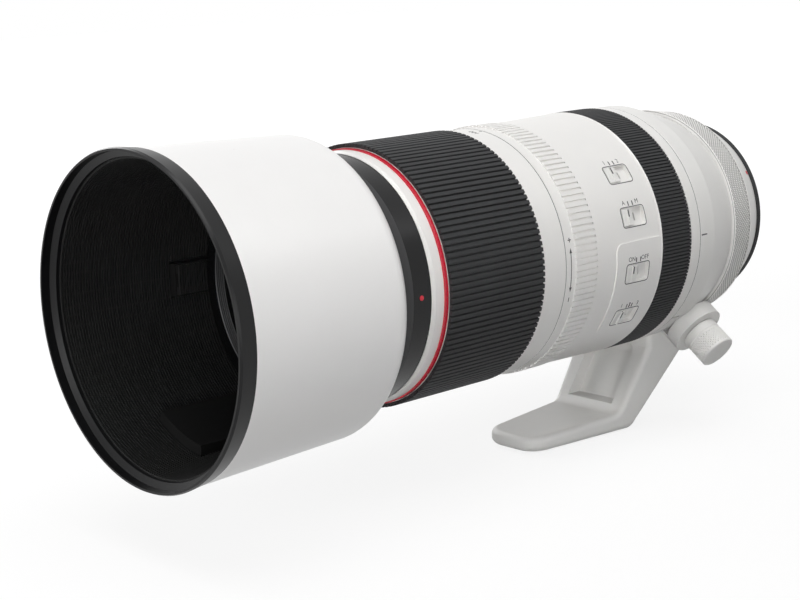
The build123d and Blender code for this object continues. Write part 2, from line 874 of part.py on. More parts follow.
def switch_window(name):
    # The pocket that a lever slides in, and the slot in its floor for the stem.
    top = window_top(name)
    angle = switch_angles[name]
    pocket = Box(window_len, window_width, window_depth + overrun)
    pocket = fillet(pocket.edges().filter_by(Axis.Z), window_round)
    pocket = round_place(switch_station, angle, top - window_depth + (window_depth + overrun) / 2) * pocket
    travel = switch_travels[name]
    slot = radial_block(lever_station(name) - travel / 2, angle, travel + lever_stem_len + 2 * lever_play,
                        lever_stem_width + 2 * lever_play, housing_bore_r - overrun, top)
    return pocket, slot


def switch_housing():
    shell = revolved([(housing_rear, housing_bore_r), (housing_rear, housing_rear_r),
                      (housing_front, housing_front_r), (housing_front, housing_bore_r)])
    front = housing_rear + panel_len
    low = housing_bore_r + bond_gap
    outline = [(housing_rear, low), (housing_rear, housing_radius(housing_rear) + panel_raise),
               (front, housing_radius(front) + panel_raise), (front, low)]
    face = make_face(Polyline(*[(-station, 0, radius) for station, radius in outline], close=True))
    pad = Rot(panel_start_angle, 0, 0) * revolve(face, axis=Axis.X,
                                                 revolution_arc=panel_end_angle - panel_start_angle)
    corners = [edge for edge in pad.edges() if abs(edge.center().X + front) < bond_gap
               and edge.length < 2 * housing_wall_rear]
    pad = fillet(corners, panel_round)
    solid = shell + pad
    for name in switch_angles:
        pocket, slot = switch_window(name)
        solid = solid - pocket - slot
    return solid


def switch_lever(name):
    # A flat slider with a raised line for the finger and a stem into the barrel.
    top = window_top(name)
    angle = switch_angles[name]
    station = lever_station(name)
    low = top - window_depth + lever_float
    width = window_width - 2 * lever_play
    body = radial_block(station, angle, lever_len, width, low, top + lever_proud / 2)
    body = chamfer(body.edges(), lever_ridge / 2)
    ridge = radial_block(station, angle, lever_ridge * 2, window_width - 4 * lever_play, top,
                         top + lever_proud + lever_ridge)
    stem = radial_block(station, angle, lever_stem_len, lever_stem_width, housing_bore_r + bond_gap, top)
    return body + ridge + stem


# Focus ring, cover ring and control ring

def focus_ring():
    sleeve = tube(focus_rear, focus_front, focus_sleeve_r, sleeve_bore_r)
    lip_rear = focus_front - focus_lip_len
    lip = revolved([(lip_rear, sleeve_bore_r), (lip_rear, focus_rubber_r),
                    (focus_front, focus_rubber_r - focus_lip_len / 2), (focus_front, sleeve_bore_r)])
    return sleeve + lip


def focus_ring_rubber():
    root = focus_rubber_r - focus_rib_depth
    return ribbed_tube(focus_rear, focus_front - focus_lip_len - bond_gap, root, focus_rubber_r,
                       focus_sleeve_r + bond_gap, focus_rib_count)


def cover_ring():
    return tube(cover_rear, cover_front, cover_r, main_r + bond_gap)


def control_ring():
    # A gentle cone with both edges bevelled.
    rear_r, front_r = control_bore_r + control_rear_wall, control_bore_r + control_front_wall
    return revolved([(control_rear, control_bore_r), (control_rear, rear_r - control_bevel),
                     (control_rear + control_bevel, rear_r), (control_front - control_bevel, front_r),
                     (control_front, front_r - control_bevel), (control_front, control_bore_r)])


# Rear barrel, mount and electronics

def rear_barrel():
    skirt_bore = rear_barrel_rear_r - rear_barrel_wall
    front = collar_rear - ring_gap - bond_gap
    rear = mount_flange_len + bond_gap
    step = rear + rear_barrel_round
    floor = rear + rear_barrel_wall
    solid = revolved([(rear, mount_spigot_r), (rear, rear_barrel_rear_r - rear_barrel_round / 2),
                      (step, rear_barrel_rear_r), (rear_barrel_front, rear_barrel_front_r),
                      (rear_barrel_front, control_core_r), (front, control_core_r), (front, core_bore_r),
                      (rear + mount_boss_len, core_bore_r), (rear + mount_boss_len, skirt_bore),
                      (floor, skirt_bore), (floor, mount_spigot_r)])
    for index in range(mount_screw_count):
        angle = mount_screw_angle + index * full_turn / mount_screw_count
        solid = solid - axial_pin(rear - overrun, mount_screw_len + ring_gap, angle, mount_screw_orbit_r,
                                  mount_screw_r + bond_gap)
    return solid


def mount_ring():
    # The flange, the spigot behind it and three bayonet lugs at its end.
    solid = tube(0, mount_flange_len, mount_r, mount_bore_r)
    solid = solid + tube(-mount_spigot_len, bond_gap, mount_spigot_r, mount_bore_r)
    for index in range(mount_lug_count):
        angle = index * full_turn / mount_lug_count
        solid = solid + sector(-mount_spigot_len, mount_lug_len - mount_spigot_len, mount_lug_r,
                               mount_spigot_r - bond_gap, angle, angle + mount_lug_angle)
    for index in range(mount_screw_count):
        angle = mount_screw_angle + index * full_turn / mount_screw_count
        solid = solid - axial_pin(-overrun, mount_flange_len + overrun, angle, mount_screw_orbit_r,
                                  mount_screw_r + bond_gap)
        solid = solid - axial_pin(-overrun, mount_screw_head_len + bond_gap, angle, mount_screw_orbit_r,
                                  mount_screw_head_r + bond_gap)
    return solid


def mount_screws():
    screws = []
    for index in range(mount_screw_count):
        angle = mount_screw_angle + index * full_turn / mount_screw_count
        head = axial_pin(bond_gap, mount_screw_head_len, angle, mount_screw_orbit_r, mount_screw_head_r)
        slot = mount_screw_head_r / 2
        head = head - radial_block(0, angle, mount_screw_head_len, slot, mount_screw_orbit_r - slot / 2,
                                   mount_screw_orbit_r + slot / 2)
        shank = axial_pin(mount_screw_head_len - bond_gap, mount_screw_len, angle, mount_screw_orbit_r,
                          mount_screw_r)
        screws.append(head + shank)
    return screws


def mount_gasket():
    return tube(0, mount_flange_len, mount_r + bond_gap + gasket_thick, mount_r + bond_gap)


def contact_block():
    half = contact_count * contact_pitch_angle / 2
    bore = contact_block_r - contact_block_wall
    rear, front = ring_gap - mount_spigot_len, contact_block_len - mount_spigot_len
    solid = sector(rear, front, contact_block_r, bore, contact_angle - half, contact_angle + half)
    for angle in contact_angles():
        solid = solid - axial_pin(rear - overrun, front + overrun, angle, contact_orbit,
                                  contact_r + bond_gap)
    return solid


def contact_angles():
    first = contact_angle - (contact_count - 1) * contact_pitch_angle / 2
    return [first + index * contact_pitch_angle for index in range(contact_count)]


def contact_pins():
    rear = -mount_spigot_len + ring_gap - contact_proud
    return [axial_pin(rear, contact_block_len - mount_spigot_len, angle, contact_orbit, contact_r)
            for angle in contact_angles()]


def rear_baffle():
    rear = -contact_proud
    solid = disc(rear, rear + baffle_thick, mount_bore_r - bond_gap)
    opening = Pos(-rear, 0, 0) * Box(2 * baffle_thick + overrun, baffle_open_len, baffle_open_height)
    return solid - opening


def rear_lens_cell():
    # A turned cell on a plate that reaches out to the rear barrel.
    rear = baffle_thick + ring_gap
    front = rear + rear_cell_len
    bore = rear_cell_r - rear_cell_wall
    plate_rear = front - rear_plate_len
    plate_r = core_bore_r - bond_gap
    return revolved([(rear, bore - lens_step), (rear, rear_cell_r), (plate_rear, rear_cell_r),
                     (plate_rear, plate_r), (front, plate_r), (front, bore + bond_gap),
                     (rear + lens_seat_len, bore + bond_gap), (rear + lens_seat_len, bore - lens_step)])


def rear_lens():
    radius = rear_cell_r - rear_cell_wall
    middle = baffle_thick + ring_gap + lens_seat_len + rear_lens_edge / 2 + rear_lens_sag
    return lens_element(middle, radius, rear_lens_edge, rear_lens_sag, -rear_lens_sag / 2)


def main_circuit_board():
    half = board_open_angle / 2
    rear = baffle_thick + ring_gap + rear_cell_len + bond_gap
    front = rear + board_thick
    solid = sector(rear, front, board_r, board_bore_r, half, full_turn - half)
    for index in range(chip_count):
        angle = half + (index + 1) * (full_turn - board_open_angle) / (chip_count + 1)
        solid = solid + radial_block(front + chip_thick / 2 - bond_gap, angle, chip_thick, chip_size,
                                     chip_orbit_r - chip_size / 2, chip_orbit_r + chip_size / 2)
    return solid


# Stabiliser, iris and focus groups

def stab_slots(rear, front, angle, orbit):
    # Slots for two pins, each long enough for the shift to either side.
    length = 2 * (stab_shift + stab_pin_r + stab_pin_play)
    width = 2 * (stab_pin_r + stab_pin_play)
    cuts = []
    for turn in (0, half_turn):
        place = round_place((rear + front) / 2, angle + turn, orbit)
        cuts.append(place * Box(front - rear + overrun, width, length))
    return cuts


def stabiliser_frame():
    solid = tube(stab_frame_rear, stab_frame_front, neck_bore_r - bond_gap, stab_slider_bore_r)
    for turn in (0, half_turn):
        solid = solid + axial_pin(stab_frame_front - bond_gap, stab_slider_front, turn,
                                  stab_frame_pin_orbit, stab_pin_r)
    return solid


def stabiliser_slider():
    # Slides up and down on the frame's pins, and carries the pins of the lens carrier.
    solid = tube(stab_slider_rear, stab_slider_front, stab_slider_r, stab_slider_bore_r)
    for cut in stab_slots(stab_slider_rear, stab_slider_front, 0, stab_frame_pin_orbit):
        solid = solid - cut
    for turn in (half_turn / 2, -half_turn / 2):
        solid = solid + axial_pin(stab_slider_front - bond_gap, stab_carrier_front, turn,
                                  stab_slider_pin_orbit, stab_pin_r)
    return solid


def stabiliser_carrier():
    # Slides sideways on the slider's pins and holds the stabiliser lens and magnets.
    solid = tube(stab_carrier_rear, stab_carrier_front, stab_carrier_r, stab_lens_r + bond_gap)
    for cut in stab_slots(stab_carrier_rear, stab_carrier_front, half_turn / 2, stab_slider_pin_orbit):
        solid = solid - cut
    for angle in (half_turn / 4, half_turn + half_turn / 4):
        place = round_place(stab_carrier_front + stab_magnet_thick / 2 - bond_gap, angle,
                            (stab_carrier_r + stab_lens_r) / 2)
        solid = solid + place * Box(stab_magnet_thick, stab_magnet_len, stab_magnet_width)
    return solid


def stabiliser_lens():
    middle = (stab_carrier_rear + stab_carrier_front) / 2
    return lens_element(middle, stab_lens_r, stab_plate_thick, stab_lens_sag, stab_lens_sag)


def iris_housing():
    floor = iris_rear + iris_plate_thick
    wall_r = iris_r - iris_wall
    return revolved([(iris_rear, iris_bore_r), (iris_rear, iris_r), (iris_front, iris_r),
                     (iris_front, wall_r), (floor, wall_r), (floor, iris_bore_r)])


def iris_blades():
    # Nine thin leaves, each in its own layer with a pivot pin into the base plate.
    first = iris_rear + iris_plate_thick + blade_pitch - blade_thick
    leaves = []
    for index in range(blade_count):
        angle = index * blade_step
        rear = first + index * blade_pitch
        front = rear + blade_thick
        leaf = sector(rear, front, blade_outer_r, blade_inner_r, angle, angle + blade_sweep)
        ear = axial_pin(rear, front, angle, blade_pivot_r, blade_ear_r)
        ear_angle = angle + degrees(blade_ear_r / blade_outer_r)
        neck = radial_block((rear + front) / 2, ear_angle, blade_thick, 2 * blade_ear_r,
                            blade_outer_r - blade_ear_r, blade_pivot_r)
        pin = axial_pin(iris_rear + iris_plate_thick + bond_gap, front, angle, blade_pivot_r, blade_pin_r)
        leaves.append(leaf + ear + neck + pin)
    return leaves


def iris_cover():
    return tube(iris_front - iris_plate_thick, iris_front, iris_r - iris_wall - bond_gap, iris_bore_r)


def focus_frame():
    front = focus_rest + focus_frame_len
    bore = focus_lens_r + bond_gap
    seat = focus_rest + lens_seat_len
    solid = revolved([(focus_rest, bore - lens_step), (focus_rest, focus_frame_r), (front, focus_frame_r),
                      (front, bore), (seat, bore), (seat, bore - lens_step)])
    for angle in (0, half_turn):
        solid = solid - axial_pin(focus_rest - overrun, front + overrun, angle, rod_orbit_r,
                                  rod_r + rod_play)
    return solid


def focus_lens():
    middle = focus_rest + lens_seat_len + bond_gap + focus_lens_edge / 2
    return lens_element(middle, focus_lens_r, focus_lens_edge, -focus_lens_sag / 2, focus_lens_sag)


def focus_guide_rods():
    rear = iris_front + bond_gap
    return [axial_pin(rear, rear + rod_len, angle, rod_orbit_r, rod_r) for angle in (0, half_turn)]


def focus_motor():
    # A flat motor on the wall of the guide tube, beside the focus frame.
    rear = iris_front + ring_gap
    low, high = focus_frame_r + ring_gap, guide_bore_r - bond_gap
    half = degrees(motor_width / 2 / high)
    return sector(rear, rear + motor_len, high, low, motor_angle - half, motor_angle + half)


# Tripod collar, foot and clamp

def clamp_place(ahead, beside, reach):
    # A place by the clamp axis, forward and sideways of it, whose Z points out along the knob.
    return Rot(clamp_angle, 0, 0) * Pos(-clamp_station - ahead, -clamp_offset - beside, reach)


def clamp_post(radius, low, high):
    return clamp_place(0, 0, (low + high) / 2) * Cylinder(radius, high - low)


def clamp_slab(rear, front, near, far, low, high):
    # A block in the clamp's own frame: stations along the lens, then distances from its middle plane.
    ahead, beside = (rear + front) / 2 - clamp_station, (near + far) / 2 - clamp_offset
    return clamp_place(ahead, beside, (low + high) / 2) * Box(front - rear, far - near, high - low)


def leg_front(height):
    # Where the front of the leg stands at a height below the axis: it slopes from the collar to the plate.
    run = leg_front_bottom - leg_front_top
    return leg_front_top + run * (height - leg_clear_r) / (foot_height - foot_plate_thick - leg_clear_r)


def foot_profile():
    # The foot from the side: leg, plate and tip, rounded where they meet.
    points = [(collar_rear, -leg_top_height), (collar_rear, -leg_rear_top_height),
              (leg_rear_bottom, -foot_height), (foot_tip, -foot_height),
              (foot_tip, foot_tip_thick - foot_height), (leg_front_bottom, foot_plate_thick - foot_height),
              (leg_front_top, -leg_clear_r), (leg_front_top, -leg_top_height)]
    knee_points = (points[1], points[2], points[5])
    face = make_face(Polyline(*[(-station, 0, height) for station, height in points], close=True))
    knees = [vertex for vertex in face.vertices()
             if any(near_point(vertex, station, height) for station, height in knee_points)]
    return extrude(fillet(knees, leg_round), amount=leg_rear_half_width, both=True, dir=(0, 1, 0))


def foot_plan():
    # The foot from below: it tapers to a tip with round corners.
    face = make_face(Polyline((-collar_rear, -leg_rear_half_width, 0), (-foot_tip, -foot_tip_half_width, 0),
                              (-foot_tip, foot_tip_half_width, 0), (-collar_rear, leg_rear_half_width, 0),
                              close=True))
    tips = [vertex for vertex in face.vertices() if vertex.X < -foot_tip + bond_gap]
    place = Pos(0, 0, -foot_height - overrun)
    return place * extrude(fillet(tips, foot_tip_round), amount=foot_height, dir=(0, 0, 1))


def near_point(vertex, station, height):
    return abs(vertex.X + station) < bond_gap and abs(vertex.Z - height) < bond_gap


def foot_side_edges(solid):
    # The edges along both sides and round the tip, without those of the flat underside.
    chosen = []
    for edge in solid.edges():
        box = edge.bounding_box()
        level = box.max.Z - box.min.Z < bond_gap
        upright = box.max.X - box.min.X < bond_gap and box.max.Y - box.min.Y < bond_gap
        at_end = box.min.Z < -foot_height + bond_gap or box.max.Z > -leg_top_height - bond_gap
        at_tip = box.max.X < -foot_tip + bond_gap
        at_side = abs(edge.center().Y) > foot_tip_half_width / 2
        if (at_side or at_tip) and not (level and at_end) and not (at_tip and upright):
            chosen.append(edge)
    return chosen


def foot_pocket():
    # The hollow in the front of the leg, between its two ribs.
    top, low = leg_clear_r, foot_height - foot_plate_thick - recess_round
    points = [(leg_front(top) - recess_depth, top), (leg_front(top) + recess_depth, top),
              (leg_front(low) + recess_depth, low), (leg_front(low) - recess_depth, low)]
    face = make_face(Polyline(*[(-station, 0, -height) for station, height in points], close=True))
    solid = extrude(face, amount=recess_half_width, both=True, dir=(0, 1, 0))
    return fillet(solid.faces().sort_by(Axis.X)[-1].edges(), recess_round)


def foot():
    solid = foot_profile() & foot_plan()
    return fillet(foot_side_edges(solid), foot_edge_round) - foot_pocket()


def clamp_slits():
    # The stepped split of the ring: beyond the lug, forward of it, and out to the front face.
    high = clamp_low + clamp_lug_len
    lug_front = clamp_station + clamp_lug_r
    far_end = split_far + split_width
    near_end, slit_front = split_near + split_width, lug_front + split_width
    beyond = clamp_slab(collar_rear - overrun, slit_front, split_far, far_end, split_low, clamp_low)
    across = clamp_slab(lug_front, slit_front, split_near, far_end, split_low, high)
    out = clamp_slab(lug_front, collar_front + overrun, split_near, near_end, split_low, high)
    under = clamp_post(clamp_lug_r + split_width, clamp_low - split_width, high + overrun)
    under = under & clamp_slab(collar_rear - collar_len, collar_front + collar_len, -collar_r, far_end,
                               split_low, high + overrun)
    return [under, beyond, across, out]


def tripod_collar():
    land_rear = collar_front - collar_front_bevel - collar_land_len
    bevel_rear = collar_front - collar_front_bevel
    front_r = collar_r - collar_front_drop
    solid = revolved([(collar_rear, 0), (collar_rear, collar_rear_r), (land_rear, collar_r),
                      (bevel_rear, collar_r), (collar_front, front_r), (collar_front, 0)])
    solid = solid + foot()
    for cut in clamp_slits():
        solid = solid - cut
    high = clamp_low + clamp_lug_len
    far_end = split_far + split_width
    beyond = clamp_slab(collar_rear - collar_len, collar_front, far_end, collar_r, split_low, high)
    boss = clamp_post(clamp_lug_r, split_low, high) & beyond
    solid = solid + (boss + clamp_post(clamp_lug_r, clamp_low, high))
    solid = solid - tube(collar_rear - collar_len, collar_front + overrun, collar_bore_r, 0)
    solid = solid - clamp_post(screw_r + screw_play, clamp_low - screw_depth, high + overrun)
    place = Pos(-socket_station, 0, bush_len / 2 - foot_height)
    return solid - place * Cylinder(bush_r + bond_gap, bush_len)


def foot_bush():
    place = Pos(-socket_station, 0, bush_len / 2 - foot_height)
    return place * Cylinder(bush_r, bush_len) - place * Cylinder(socket_r, bush_len + overrun)


def collar_knob():
    low = clamp_low + clamp_lug_len + knob_gap
    body = Cylinder(knob_r, knob_len)
    body = chamfer(body.edges(), knob_bevel)
    for index in range(knob_groove_count):
        turn = index * full_turn / knob_groove_count
        groove = Rot(0, 0, turn) * Pos(knob_r, 0, 0) * Rot(0, 0, half_turn / 4) * Box(
            knob_groove_depth, knob_groove_depth, knob_len - 4 * knob_bevel)
        body = body - groove
    return clamp_place(0, 0, low + knob_len / 2) * body


def clamp_screw():
    low = clamp_low - screw_depth + 2 * screw_play
    return clamp_post(screw_r, low, clamp_low + clamp_lug_len + knob_gap - bond_gap)


def save(name, shape):
    solids = shape if isinstance(shape, (list, tuple)) else [shape]
    parts = []
    for solid in solids:
        parts.extend(solid.solids())
    whole = parts[0] if len(parts) == 1 else Compound(children=parts)
    whole.label = name
    export_step(whole, f"parts/{name}.step")
    print(name, len(parts))


def build():
    save("hood_shell", hood_shell())
    save("hood_liner", hood_liner())
    save("hood_front_rim", hood_front_rim())
    save("hood_lock_button", hood_lock_button())
    save("hood_filter_door", hood_filter_door())
    save("hood_door_guide", hood_door_guide())
    save("front_ring", front_ring())
    save("name_ring", name_ring())
    save("red_ring", red_ring())
    save("inner_barrel", inner_barrel())
    save("barrel_rollers", barrel_rollers())
    save("front_lens_cell", front_lens_cell())
    save("front_lens", front_lens())
    save("second_lens", second_lens())
    save("lens_retaining_ring", lens_retaining_ring())
    save("zoom_ring", zoom_ring())
    save("zoom_ring_rubber", zoom_ring_rubber())
    save("zoom_keys", zoom_keys())
    save("cam_tube", cam_tube())
    save("guide_tube", guide_tube())
    save("main_barrel", main_barrel())
    save("variator_frame", variator_frame())
    save("variator_lens", variator_lens())
    save("torque_ring", torque_ring())
    save("switch_housing", switch_housing())
    for name in switch_angles:
        save(name, switch_lever(name))
    save("focus_ring", focus_ring())
    save("focus_ring_rubber", focus_ring_rubber())
    save("cover_ring", cover_ring())
    save("tripod_collar", tripod_collar())
    save("foot_bush", foot_bush())
    save("collar_knob", collar_knob())
    save("clamp_screw", clamp_screw())
    save("control_ring", control_ring())
    save("rear_barrel", rear_barrel())
    save("mount_ring", mount_ring())
    save("mount_screws", mount_screws())
    save("mount_gasket", mount_gasket())
    save("contact_block", contact_block())
    save("contact_pins", contact_pins())
    save("rear_baffle", rear_baffle())
    save("rear_lens_cell", rear_lens_cell())
    save("rear_lens", rear_lens())
    save("main_circuit_board", main_circuit_board())
    save("stabiliser_frame", stabiliser_frame())
    save("stabiliser_slider", stabiliser_slider())
    save("stabiliser_carrier", stabiliser_carrier())
    save("stabiliser_lens", stabiliser_lens())
    save("iris_housing", iris_housing())
    save("iris_blades", iris_blades())
    save("iris_cover", iris_cover())
    save("focus_frame", focus_frame())
    save("focus_lens", focus_lens())
    save("focus_guide_rods", focus_guide_rods())
    save("focus_motor", focus_motor())


build()
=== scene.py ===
import bpy
import bmesh
import json
import math
from mathutils import Matrix, Vector

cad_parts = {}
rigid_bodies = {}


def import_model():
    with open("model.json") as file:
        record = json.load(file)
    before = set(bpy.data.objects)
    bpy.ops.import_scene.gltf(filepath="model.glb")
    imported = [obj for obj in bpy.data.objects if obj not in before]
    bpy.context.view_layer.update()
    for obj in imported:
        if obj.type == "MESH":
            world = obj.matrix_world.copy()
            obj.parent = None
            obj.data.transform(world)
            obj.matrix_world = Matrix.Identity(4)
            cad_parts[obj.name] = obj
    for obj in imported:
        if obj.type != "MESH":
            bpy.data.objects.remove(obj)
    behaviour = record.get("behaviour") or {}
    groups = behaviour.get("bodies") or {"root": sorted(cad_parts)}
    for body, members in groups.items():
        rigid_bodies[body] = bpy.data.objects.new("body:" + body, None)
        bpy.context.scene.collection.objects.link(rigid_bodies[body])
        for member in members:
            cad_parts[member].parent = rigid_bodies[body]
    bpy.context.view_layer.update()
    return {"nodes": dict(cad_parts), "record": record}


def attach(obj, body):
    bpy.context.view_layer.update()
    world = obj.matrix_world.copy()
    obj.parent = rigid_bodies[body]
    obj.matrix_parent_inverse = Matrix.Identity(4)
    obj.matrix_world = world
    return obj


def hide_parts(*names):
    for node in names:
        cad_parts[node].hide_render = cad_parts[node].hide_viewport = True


# A white telephoto zoom lens with its hood on, standing on the foot of its tripod collar. The frame is in
# metres; sizes here are in millimetres and are multiplied by mm. The lens axis is X and the front is
# towards -X, so a station, counted from the mount face, is -x. Angles round the lens start at the top and
# turn towards -Y, the side with the switches.
mm = 0.001

for leftOver in list(bpy.data.objects):
    bpy.data.objects.remove(leftOver)
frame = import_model()
cad = frame["nodes"]
print("frame loaded", len(cad), "nodes")


def hexColour(text):
    # sRGB hex to the linear colour that a shader wants
    values = [int(text[i:i + 2], 16) / 255 for i in (0, 2, 4)]
    linear = [v / 12.92 if v <= 0.04045 else ((v + 0.055) / 1.055) ** 2.4 for v in values]
    return (*linear, 1)


def addNode(tree, kind, settings=None, values=None, links=None):
    # one shader node, with its options, its plain inputs and what feeds the others
    node = tree.nodes.new(kind)
    for name, value in (settings or {}).items():
        setattr(node, name, value)
    for name, value in (values or {}).items():
        node.inputs[name].default_value = value
    for name, socket in (links or {}).items():
        tree.links.new(socket, node.inputs[name])
    return node


def newMaterial(name, values):
    material = bpy.data.materials.new(name)
    material.use_nodes = True
    shader = material.node_tree.nodes["Principled BSDF"]
    for socket, value in values.items():
        shader.inputs[socket].default_value = value
    return material, material.node_tree, shader


def perSize(size):
    # texture scale that repeats once in a real size given in millimetres
    return 1 / (size * mm)


# Paints, plastics and rubbers: two close tones in a slow mottle, and a grain or orange peel of a real size
# and depth in millimetres. "more" is what else the shader needs.
whiteCoat = {"Coat Weight": 0.12, "Coat Roughness": 0.25}
mottles = {"white": {"Scale": perSize(18.0), "Detail": 3.0}, "dark": {"Scale": perSize(14.0), "Detail": 2.0}}
paints = {
    # warm white heat-reflecting enamel, sprayed on the barrel: satin, with a very fine orange peel
    "white_enamel": {"name": "enamelSprayedOnBarrel", "tones": ("e6e5e3", "eceae7"), "grain": 0.5,
                     "depth": 0.012, "roughness": (0.34, 0.42), "more": whiteCoat, "mottle": "white"},
    # the same enamel over a rough magnesium casting: duller, with a deeper peel
    "white_casting": {"name": "enamelOnMagnesiumCasting", "tones": ("e2e1df", "e9e8e5"), "grain": 0.7,
                      "depth": 0.03, "roughness": (0.4, 0.52), "more": whiteCoat, "mottle": "white"},
    # enamel on the moulded hood: smoother and a little brighter
    "white_hood": {"name": "enamelOnMouldedHood", "tones": ("ecebea", "f0efee"), "grain": 0.9,
                   "depth": 0.006, "roughness": (0.26, 0.32), "more": whiteCoat, "mottle": "white"},
    # enamel on thin turned rings: tight and even
    "white_anodised": {"name": "enamelOnTurnedAluminium", "tones": ("e4e3e2", "eae9e7"), "grain": 0.35,
                       "depth": 0.006, "roughness": (0.3, 0.36), "more": whiteCoat, "mottle": "white"},
    # acetal, moulded white, for the switch levers: fine grain of the mould, slightly glossy
    "switch_resin": {"name": "acetalMouldedWhite", "tones": ("dfdedc", "e6e5e2"), "grain": 0.25,
                     "depth": 0.004, "roughness": (0.36, 0.44), "more": whiteCoat, "mottle": "white"},
    # nitrile rubber, moulded: dark and dull, with a fine moulding grain and a faint bloom of dust on it
    "black_rubber": {"name": "nitrileRubberMoulded", "tones": ("3a3a3b", "424344"), "grain": 0.25,
                     "depth": 0.02, "roughness": (0.5, 0.64),
                     "more": {"Specular IOR Level": 0.06, "Sheen Weight": 0.02, "Sheen Roughness": 0.5}},
    # ABS, moulded black and satin: soft broad highlight on the hood's edge
    "black_rim": {"name": "absMouldedSatin", "tones": ("0f0f10", "151516"), "grain": 0.4,
                  "depth": 0.008, "roughness": (0.26, 0.34), "more": {"Specular IOR Level": 0.22}},
    # ABS with a matt light-trap finish: swallows nearly all light inside the hood
    "black_resin": {"name": "absMouldedMatt", "tones": ("161616", "1c1c1c"), "grain": 0.3,
                    "depth": 0.02, "roughness": (0.5, 0.64), "more": {"Specular IOR Level": 0.12}},
    # stoved black enamel on aluminium: satin with a tight highlight
    "black_enamel": {"name": "enamelStovedBlack", "tones": ("101011", "161617"), "grain": 0.5,
                     "depth": 0.008, "roughness": (0.3, 0.38)},
    # black anodised aluminium: even, slightly metallic satin
    "black_anodised": {"name": "aluminiumAnodisedBlack", "tones": ("131315", "19191c"), "grain": 0.2,
                       "depth": 0.006, "roughness": (0.34, 0.44), "more": {"Metallic": 0.25}},
    # glass-filled polycarbonate, moulded: dark grey with faint fibre grain
    "filled_resin": {"name": "polycarbonateGlassFilled", "tones": ("26272a", "2e2f32"), "grain": 0.5,
                     "depth": 0.012, "roughness": (0.45, 0.6)},
    # gloss red enamel, dipped: bright ring with a clear coat
    "red_enamel": {"name": "enamelGlossRed", "tones": ("c40f2c", "cd1531"), "grain": 0.6,
                   "depth": 0.004, "roughness": (0.22, 0.28),
                   "more": {"Coat Weight": 0.4, "Coat Roughness": 0.12}}}
# Finishes that only pieces made here wear
marks = {
    # printing ink, padded on: dull dark grey
    "ink": {"name": "inkPadPrintedGrey", "tones": ("3a3a3b", "454546"), "grain": 0.15, "depth": 0.002,
            "roughness": (0.5, 0.6)},
    # enamel that fills the drilled mounting marks: bright red
    "redFill": {"name": "enamelFillRed", "tones": ("cf1f33", "d6263a"), "grain": 0.2, "depth": 0.002,
                "roughness": (0.3, 0.36)},
    # the liner's black ABS, painted a little greyer on the hood's ribs than on the matt wall between them:
    # painted highlight on the rib crests
    "ribs": {"name": "absPaintedLighterOnRibs", "tones": ("232323", "292929"), "grain": 0.3, "depth": 0.01,
             "roughness": (0.5, 0.62), "more": {"Specular IOR Level": 0.14}}}


def giveSurface(tree, shader, tones=None, roughness=None, relief=None):
    # what a surface takes from patterns: a mix of two tones, a roughness between two values and a relief of
    # a depth in millimetres, each given after the pattern that it follows
    if tones:
        pattern, colours = tones
        mix = addNode(tree, "ShaderNodeMix", {"data_type": "RGBA"}, links={"Factor": pattern})
        mix.inputs["A"].default_value, mix.inputs["B"].default_value = map(hexColour, colours)
        tree.links.new(mix.outputs["Result"], shader.inputs["Base Color"])
    if roughness:
        pattern, (low, high) = roughness
        satin = addNode(tree, "ShaderNodeMapRange", values={"To Min": low, "To Max": high},
                        links={"Value": pattern})
        tree.links.new(satin.outputs["Result"], shader.inputs["Roughness"])
    if relief:
        pattern, depth = relief
        bump = addNode(tree, "ShaderNodeBump", values={"Distance": depth * mm}, links={"Height": pattern})
        tree.links.new(bump.outputs["Normal"], shader.inputs["Normal"])


def painted(name, tones, grain, depth, roughness, more=None, mottle="dark"):
    material, tree, shader = newMaterial(name, {"IOR": 1.5, **(more or {})})
    place = addNode(tree, "ShaderNodeTexCoord").outputs["Object"]
    cloud = addNode(tree, "ShaderNodeTexNoise", values=mottles[mottle], links={"Vector": place})
    fine = addNode(tree, "ShaderNodeTexNoise", values={"Scale": perSize(grain), "Detail": 3.0},
                   links={"Vector": place}).outputs["Fac"]
    giveSurface(tree, shader, (cloud.outputs["Fac"], tones), (fine, roughness), (fine, depth))
    return material


# Bare metals: the rings that the lathe leaves, and the satin that they give. The wave texture runs 20
# radians a unit, so the rings repeat every 6.3 feeds: a single feed is too fine, and they are drawn as
# coarse as they need to show.
waveRate = 20
metals = {
    # brass, turned and hard chromed: bright mirror-like flange with faint turning rings
    "mount_chrome": {"name": "brassTurnedChromed", "colour": "c9cacb", "feed": 0.3, "depth": 0.004,
                     "roughness": (0.14, 0.22)},
    # aluminium, turned and left natural: pale grey with visible lathe rings
    "turned_aluminium": {"name": "aluminiumTurned", "colour": "b9bbbd", "feed": 0.25, "depth": 0.006,
                         "roughness": (0.28, 0.4)},
    # stainless steel screws, cold headed: bright with soft scratches
    "screw_steel": {"name": "steelColdHeaded", "colour": "a9a9a8", "feed": 0.2, "depth": 0.005,
                    "roughness": (0.24, 0.34)},
    # spring steel, blackened in hot oil: dark blue-grey metal
    "blackened_steel": {"name": "steelOilBlackened", "colour": "2c2d30", "feed": 0.2, "depth": 0.005,
                        "roughness": (0.36, 0.46)},
    # copper contacts, gold flashed: warm and smooth
    "contact_gold": {"name": "contactGoldFlashed", "colour": "e0b45c", "feed": 0.3, "depth": 0.002,
                     "roughness": (0.16, 0.24)},
    # sintered bronze motor shell: warm brown metal with small pores
    "bronze_motor": {"name": "bronzeSintered", "colour": "8f6f45", "feed": 0.3, "depth": 0.01,
                     "roughness": (0.38, 0.5)}}


